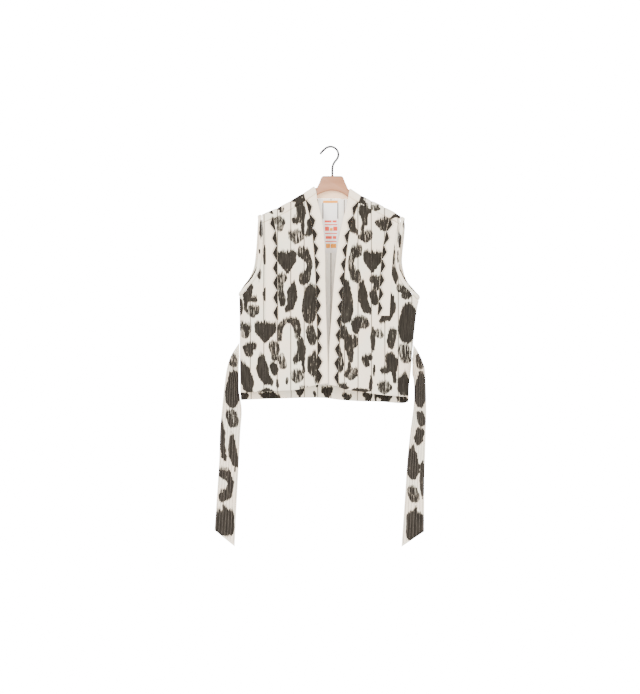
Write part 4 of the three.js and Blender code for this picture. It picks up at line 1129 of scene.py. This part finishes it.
def tie_frame(side, across):
    """The belt's middle surface and its normals, over a grid of shares across it."""
    outer, inner = tie_lines(side)
    t = np.asarray(across)[None, :, None]
    points = outer[:, None] * (1 - t) + inner[:, None] * t
    down = np.gradient(points, axis=0)
    over = np.repeat((inner - outer)[:, None], len(across), 1)
    normal = np.cross(down, over)
    normal /= np.linalg.norm(normal, axis=-1, keepdims=True)
    normal *= np.where(normal[..., 1:2] > 0, -1, 1)
    # Long waves down the belt, a swell between its rows of sewing, and a slight cup
    row = np.linspace(0, 1, len(points))[:, None]
    share = np.asarray(across)[None, :]
    ripple = 1.1 * np.sin(11 * row + 2.4 * share) * smooth(row / 0.2) + 0.25 * np.cos(6 * 2 * math.pi * share)
    cupped = 1.6 * (share - 0.5) ** 2 * np.sin(7 * row + side)
    return points + normal * (ripple + cupped)[..., None], normal


def tie_piece(side, mark):
    points, normal = tie_frame(side, spaced(ACROSS["tie"]))
    grid = points[..., 0], points[..., 2], np.full(points.shape[:2], FRONT)
    # The same rounding as in knit, so the points come in the same order
    _, first = np.unique(np.round(np.stack(grid, -1).reshape(-1, 3), 2), axis=0, return_index=True)
    at, facing = points.reshape(-1, 3)[first], normal.reshape(-1, 3)[first]
    place = lambda x, z, face, off: at + facing * np.broadcast_to(off, len(at))[:, None]
    chart = one_chart(LEFT_TIE_CHART if side == LEFT else RIGHT_TIE_CHART)
    return cloth_piece(f"tie_{mark}", [grid], -TIE_THICK / 2, TIE_THICK / 2, [BELT, BELT],
                       chart, round_off=1.6, place=place)


# Sewing

# Distance from stitch to stitch, a stitch's length, its thread's radius and how flat it lies
QUILT_SEWING = (3.6, 2.5, 0.5, 0.6)
EDGE_SEWING = (3.4, 2.4, 0.28, 1.0)
TIE_SEWING = (3.3, 2.7, 0.7, 0.45)
# Share of a stitch over which it tapers, at each end
TAPER = 0.18
# Lines of quilting on each side of the middle one, and rows of sewing down a belt
QUILT_LINES, TIE_LINES = 6, 7
# Quilting threads: room to the panel's edges, their lowest height, and the points along a line and
# the fewest of a stretch that is sewn
SEWN_ROOM, SEWN_FOOT, LINE_POINTS, FEWEST = 3, -705, 900, 20
# Threads over a tooth's edge: spacing, how far in and out of the edge they reach, and their radius
OVER_PITCH, OVER_IN, OVER_OUT, OVER_RADIUS = 3.2, 1.2, 4.4, 0.42
KNOT_RADIUS, KNOT_ASIDE = 1.4, 3.4


def stitches_along(path, pitch, length):
    """Starts and ends of stitches set evenly along a path of points."""
    steps = np.linalg.norm(np.diff(path, axis=0), axis=1)
    at = np.concatenate([[0], np.cumsum(steps)])
    starts = np.arange(pitch / 2, at[-1] - length, pitch)
    spot = lambda where: np.stack([np.interp(where, at, path[:, k]) for k in range(3)], -1)
    return spot(starts), spot(starts + length)


def stitch_mesh(name, pairs, radius, thread, flat=1.0):
    """Many stitches as one mesh, each a short thread that tapers at both ends."""
    a = np.concatenate([p[0] for p in pairs])
    b = np.concatenate([p[1] for p in pairs])
    along = b - a
    along /= np.linalg.norm(along, axis=1, keepdims=True) + 1e-9
    side = np.cross(along, [0.0, 1.0, 0.0])
    side /= np.linalg.norm(side, axis=1, keepdims=True) + 1e-9
    up = np.cross(along, side)
    rings = [a]
    for share in (TAPER, 1 - TAPER):
        middle = mix(a, b, share)
        rings += [middle + side * radius, middle + up * radius * flat,
                  middle - side * radius, middle - up * radius * flat]
    rings.append(b)
    points = np.stack(rings, 1).reshape(-1, 3)
    one = [(0, 2, 1), (0, 3, 2), (0, 4, 3), (0, 1, 4)]
    one += [(1 + k, 1 + (k + 1) % 4, 5 + (k + 1) % 4, 5 + k) for k in range(4)]
    one += [(9, 5 + k, 5 + (k + 1) % 4) for k in range(4)]
    faces = [tuple(10 * n + i for i in f) for n in range(len(a)) for f in one]
    obj = make_mesh(name, points, faces, materials=[thread])
    return obj


def shows_quilting(side, x, z, face):
    """Where a line of quilting shows: on the panel, clear of its edges."""
    inside = np.abs(x) < np.abs(outer_edge(side, face, z)) - SEWN_ROOM
    if face == BACK:
        below_neck = z < np.minimum(ridge(x) - 12, -150)
        return inside & below_neck & (z > curve(BACK_HEM, x) + SEWN_ROOM)
    beyond_band = np.abs(x) > np.abs(curve(BAND_SEAM[side], z)) + SEWN_ROOM
    return inside & beyond_band & (z > curve(FRONT_HEM[side], x) + SEWN_ROOM)


def quilting_stitches():
    pitch, length, radius, flat = QUILT_SEWING
    pairs = []
    for line in range(-QUILT_LINES, QUILT_LINES + 1):
        x = line * CHANNEL
        side = LEFT if x < 0 else RIGHT
        for face in (FRONT, BACK):
            z = np.linspace(float(ridge(x)) - SHOULDER_TURN - 5, SEWN_FOOT, LINE_POINTS)
            z = z[shows_quilting(side, x, z, face)]
            if len(z) < 2 * FEWEST:
                continue
            path = body_point(x, z, face, WALL + quilting(x, z) + 0.25)
            breaks = np.nonzero(np.diff(z) < -2)[0]
            for run in np.split(path, breaks + 1):
                if len(run) > FEWEST:
                    pairs.append(stitches_along(run, pitch, length))
    return stitch_mesh("quilting_stitches", pairs, radius, QUILT_THREAD, flat)


def edge_stitches():
    """Rows of sewing just inside the edges of the bands and chest strips, and along the bindings."""
    pitch, length, radius, flat = EDGE_SEWING
    paths = []
    for side in (LEFT, RIGHT):
        z = np.linspace(-150, -643, 700)
        paths.append(body_point(curve(BAND_EDGE[side], z) + side * 4, z, FRONT, BAND_THICK + 0.1))
        z = np.linspace(CHEST_OUTER[side][0][0] - 4, CHEST_BOTTOM[side] + 3, 400)
        x = curve(CHEST_OUTER[side], z) - side * 2
        paths.append(body_point(x, z, FRONT, STRIP_INSIDE + STRIP_THICK + 0.1))
        for face in (FRONT, BACK):
            x, z = armhole_path(side, face, BINDING_WIDTH - 2, 400)
            low = z < ridge(x) - 5
            paths.append(body_point(x[low], z[low], face, BINDING_THICK))
    pairs = [stitches_along(path, pitch, length) for path in paths]
    return stitch_mesh("edge_stitches", pairs, radius, PALE_THREAD, flat)


def trims(side):
    """Both trims: the teeth, the face's height, the way the teeth point and the height of the cloth below."""
    return [(front_teeth(side), FRONT_TRIM_INSIDE + TRIM_THICK, -side, BAND_THICK),
            (chest_teeth(side), CHEST_TRIM_INSIDE + TRIM_THICK, side, STRIP_INSIDE + STRIP_THICK)]


def trim_stitches():
    """Dark threads across the cut edge of every tooth."""
    pairs = []
    for (z, _, edge), high, towards, low in trims(LEFT) + trims(RIGHT):
        length = np.concatenate([[0], np.cumsum(np.hypot(np.diff(z), np.diff(edge)))])
        even = np.arange(1.5, length[-1], OVER_PITCH)
        ez, ex = np.interp(even, length, z), np.interp(even, length, edge)
        nx = np.interp(even, length, -np.gradient(z))
        nz = np.interp(even, length, np.gradient(edge))
        size = np.hypot(nx, nz)
        flip = np.where(nx * towards < 0, -1, 1)
        nx, nz = nx / size * flip, nz / size * flip
        start = body_point(ex - nx * OVER_IN, ez - nz * OVER_IN, FRONT, high + 0.15)
        end = body_point(ex + nx * OVER_OUT, ez + nz * OVER_OUT, FRONT, low + 0.35)
        pairs.append((start, end))
    return stitch_mesh("trim_stitches", pairs, OVER_RADIUS, DARK_THREAD)


def knots():
    """Small pale knots at the feet of the teeth."""
    pairs = []
    for (z, base, _), high, towards, _ in trims(LEFT) + trims(RIGHT):
        rows = sum(TOOTH_ROWS)
        feet = np.arange(rows, len(z) - 1, rows)
        x = base[feet] + towards * KNOT_ASIDE
        half = np.where(np.arange(len(feet)) % 3 == 1, 1.9, 1.5)
        pairs.append([body_point(x, z[feet] + way * half, FRONT, high) for way in (1, -1)])
    return stitch_mesh("trim_knots", pairs, KNOT_RADIUS, PALE_THREAD)


def tie_stitches():
    """Parallel rows of sewing down each tie belt."""
    pitch, length, radius, flat = TIE_SEWING
    pairs = []
    for side in (LEFT, RIGHT):
        points, normal = tie_frame(side, (np.arange(TIE_LINES) + 0.5) / TIE_LINES)
        paths = points[4:-3] + normal[4:-3] * (TIE_THICK / 2 + 0.05)
        pairs += [stitches_along(paths[:, k], pitch, length) for k in range(TIE_LINES)]
    return stitch_mesh("tie_stitches", pairs, radius, QUILT_THREAD, flat)


# Hanger

# The head's middle line, and its width at each z as a share of the solid's
HEAD_MIDDLE = 3.6
HEAD_WIDTH = [(-2000, 1.0), (-122, 1.0), (-113, 0.97), (-104.6, 0.91), (-92.7, 0.84), (-77, 0.86)]

# Points closer than this, in metres, become one; faces and edges flatter than these angles, in
# degrees, are joined and smoothed
WELD, FLAT_ANGLE, SMOOTH_ANGLE, WIRE_ANGLE = 0.00002, 1, 38, 50


def hanger_piece():
    """The solid's own hanger, smoothed, with its head drawn in."""
    select_only(bpy.data.objects["hanger_body"])
    bpy.ops.object.duplicate()
    obj = bpy.context.view_layer.objects.active
    obj.name = obj.data.name = "hanger_wood_body"
    bpy.ops.object.mode_set(mode="EDIT")
    bpy.ops.mesh.select_all(action="SELECT")
    bpy.ops.mesh.remove_doubles(threshold=WELD)
    bpy.ops.mesh.dissolve_limited(angle_limit=math.radians(FLAT_ANGLE))
    bpy.ops.mesh.normals_make_consistent(inside=False)
    bpy.ops.object.mode_set(mode="OBJECT")
    for vertex in obj.data.vertices:
        middle = HEAD_MIDDLE * MM
        vertex.co.x = middle + (vertex.co.x - middle) * float(curve(HEAD_WIDTH, vertex.co.z / MM))
    bpy.ops.object.shade_smooth_by_angle(angle=math.radians(SMOOTH_ANGLE))
    obj.data.materials.clear()
    obj.data.materials.append(wood_material())
    obj.select_set(False)
    return stands_for(obj, "hanger_body")


# Hook's middle line, as x and z: the stem, the bend's arc in degrees about its middle, and the end
STEM = [(3.7, -94.6), (3.7, -78), (3.7, -60), (4.6, -51), (8, -42)]
BEND_X, BEND_FROM, BEND_TO, BEND_STEP = -1.3, -40, 130, 10
HOOK_END = [(-24.5, -10.5), (-29, -16.5)]
HOOK_STEPS, WIRE_SIDES = 72, 20
# The wire's rounded tip: steps forward, and how much narrower each makes it
HOOK_TIP = [(0.9, 0.86), (0.7, 0.62), (0.35, 0.4)]


def hook_path():
    reach = HOOK_BEND + HOOK_RADIUS
    bend = []
    for degrees in range(BEND_FROM, BEND_TO + 1, BEND_STEP):
        angle = math.radians(degrees)
        bend.append((BEND_X + reach * math.cos(angle), -HOOK_BEND + reach * math.sin(angle)))
    return np.stack(through(STEM + bend + HOOK_END, HOOK_STEPS), -1)


def hook_piece():
    """A round wire drawn out step by step along the hook's line."""
    path = hook_path()
    bpy.ops.object.select_all(action="DESELECT")
    bpy.ops.mesh.primitive_circle_add(vertices=WIRE_SIDES, radius=HOOK_RADIUS * MM, fill_type="NGON",
                                      location=(0, 0, 0))
    obj = bpy.context.view_layer.objects.active
    bpy.ops.object.mode_set(mode="EDIT")
    bpy.ops.mesh.select_all(action="SELECT")
    bpy.ops.transform.translate(value=(path[0][0] * MM, 0, path[0][1] * MM))
    heading = 0.0
    for k in range(1, len(path)):
        dx, dz = (path[k] - path[k - 1]) * MM
        bpy.ops.mesh.extrude_region_move(TRANSFORM_OT_translate={"value": (dx, 0, dz)})
        ahead = path[min(k + 1, len(path) - 1)] - path[k - 1]
        aim = math.atan2(ahead[0], ahead[1])
        turn = math.atan2(math.sin(aim - heading), math.cos(aim - heading))
        here = (path[k][0] * MM, 0, path[k][1] * MM)
        bpy.ops.transform.rotate(value=-turn, orient_axis="Y", center_override=here)
        heading = aim
    tip = path[-1]
    ahead = (path[-1] - path[-2]) / np.linalg.norm(path[-1] - path[-2])
    for forward, size in HOOK_TIP:
        step = ahead * forward * MM
        bpy.ops.mesh.extrude_region_move(TRANSFORM_OT_translate={"value": (step[0], 0, step[1])})
        tip = tip + ahead * forward
        bpy.ops.transform.resize(value=(size, size, size), center_override=(tip[0] * MM, 0, tip[1] * MM))
    bpy.ops.mesh.select_all(action="SELECT")
    bpy.ops.mesh.normals_make_consistent(inside=False)
    bpy.ops.object.mode_set(mode="OBJECT")
    bpy.ops.object.shade_smooth_by_angle(angle=math.radians(WIRE_ANGLE))
    obj.name = obj.data.name = "hook_wire"
    obj.data.materials.append(steel_material())
    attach(obj, "root")
    obj.select_set(False)
    return stands_for(obj, "hanger_hook")


# Camera, lights and stage, in metres

CAMERA_PLACE = (-0.03025, -4.506, -0.5478)
CAMERA_LENS, CAMERA_SENSOR = 85, 36
# Strength of the white world as it is seen and as it lights the cloth
WORLD_SHOWN, WORLD_LIGHT = 16.6, 2.3
# Round lights: name, place, width across and power in watts, all turned to one point
LIGHT_AIM = (0, 0, -0.5)
LIGHTS = [
    ("key", (-1.6, -2.6, 0.9), 1.1, 115),
    ("front", (0.15, -4.0, -0.25), 0.6, 60),
    ("fill", (2.2, -2.8, -0.3), 1.8, 46),
    ("back_fill", (0.4, 2.8, 0.6), 1.6, 60),
]
FLOOR_WIDTH, FLOOR_LEVEL = 3.0, -1.85


def camera():
    """The photo's view, from straight in front."""
    data = bpy.data.cameras.new("camera")
    data.lens = CAMERA_LENS
    data.sensor_width = CAMERA_SENSOR
    obj = bpy.data.objects.new("camera", data)
    obj.location = CAMERA_PLACE
    obj.rotation_euler = (math.pi / 2, 0, 0)
    data.clip_end = 50
    bpy.context.collection.objects.link(obj)
    bpy.context.scene.camera = obj


def area_light(name, location, size, power):
    data = bpy.data.lights.new(name, "AREA")
    data.shape = "DISK"
    data.size = size
    data.energy = power
    obj = bpy.data.objects.new(name, data)
    obj.location = location
    obj.rotation_mode = "QUATERNION"
    obj.rotation_quaternion = (Vector(LIGHT_AIM) - Vector(location)).to_track_quat("-Z", "Y")
    bpy.context.collection.objects.link(obj)


def world_light():
    """A white world that is brighter to the camera than to the cloth."""
    world = bpy.data.worlds.new("studio")
    bpy.context.scene.world = world
    world.use_nodes = True
    nodes, links = world.node_tree.nodes, world.node_tree.links
    lit, shown = nodes["Background"], nodes.new("ShaderNodeBackground")
    for node, strength in ((lit, WORLD_LIGHT), (shown, WORLD_SHOWN)):
        node.inputs["Color"].default_value = (1, 1, 1, 1)
        node.inputs["Strength"].default_value = strength
    both = nodes.new("ShaderNodeMixShader")
    links.new(nodes.new("ShaderNodeLightPath").outputs["Is Camera Ray"], both.inputs[0])
    links.new(lit.outputs[0], both.inputs[1])
    links.new(shown.outputs[0], both.inputs[2])
    links.new(both.outputs[0], nodes["World Output"].inputs[0])


def studio():
    """Camera, white world, four soft lights and a pale floor well below the belts."""
    camera()
    world_light()
    for row in LIGHTS:
        area_light(*row)
    bpy.ops.object.select_all(action="DESELECT")
    bpy.ops.mesh.primitive_plane_add(size=FLOOR_WIDTH, location=(0, 0, FLOOR_LEVEL))
    floor = bpy.context.view_layer.objects.active
    floor.name = "floor"
    made, _, shader = material("studio_floor", 0.8)
    shader.inputs["Base Color"].default_value = (0.9, 0.9, 0.9, 1)
    floor.data.materials.append(made)


def build():
    """All pieces. Those of cloth come back by short names."""
    made = {"back": back_panel(), "neck": neck_band()}
    for side, mark in ((LEFT, "l"), (RIGHT, "r")):
        made[f"front_{mark}"] = front_panel(side, mark)
        made[f"band_{mark}"] = front_band(side, mark)
        made[f"trim_{mark}"] = front_trim(side, mark)
        made[f"strip_{mark}"] = chest_strip(side, mark)
        made[f"chest_{mark}"] = chest_trim(side, mark)
        made[f"binding_{mark}"] = armhole_binding(side, mark)
        made[f"tie_{mark}"] = tie_piece(side, mark)
    made["label"] = label_piece()
    quilting_stitches()
    edge_stitches()
    trim_stitches()
    knots()
    tie_stitches()
    hanger_piece()
    hook_piece()
    return made


for key, piece in build().items():
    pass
studio()
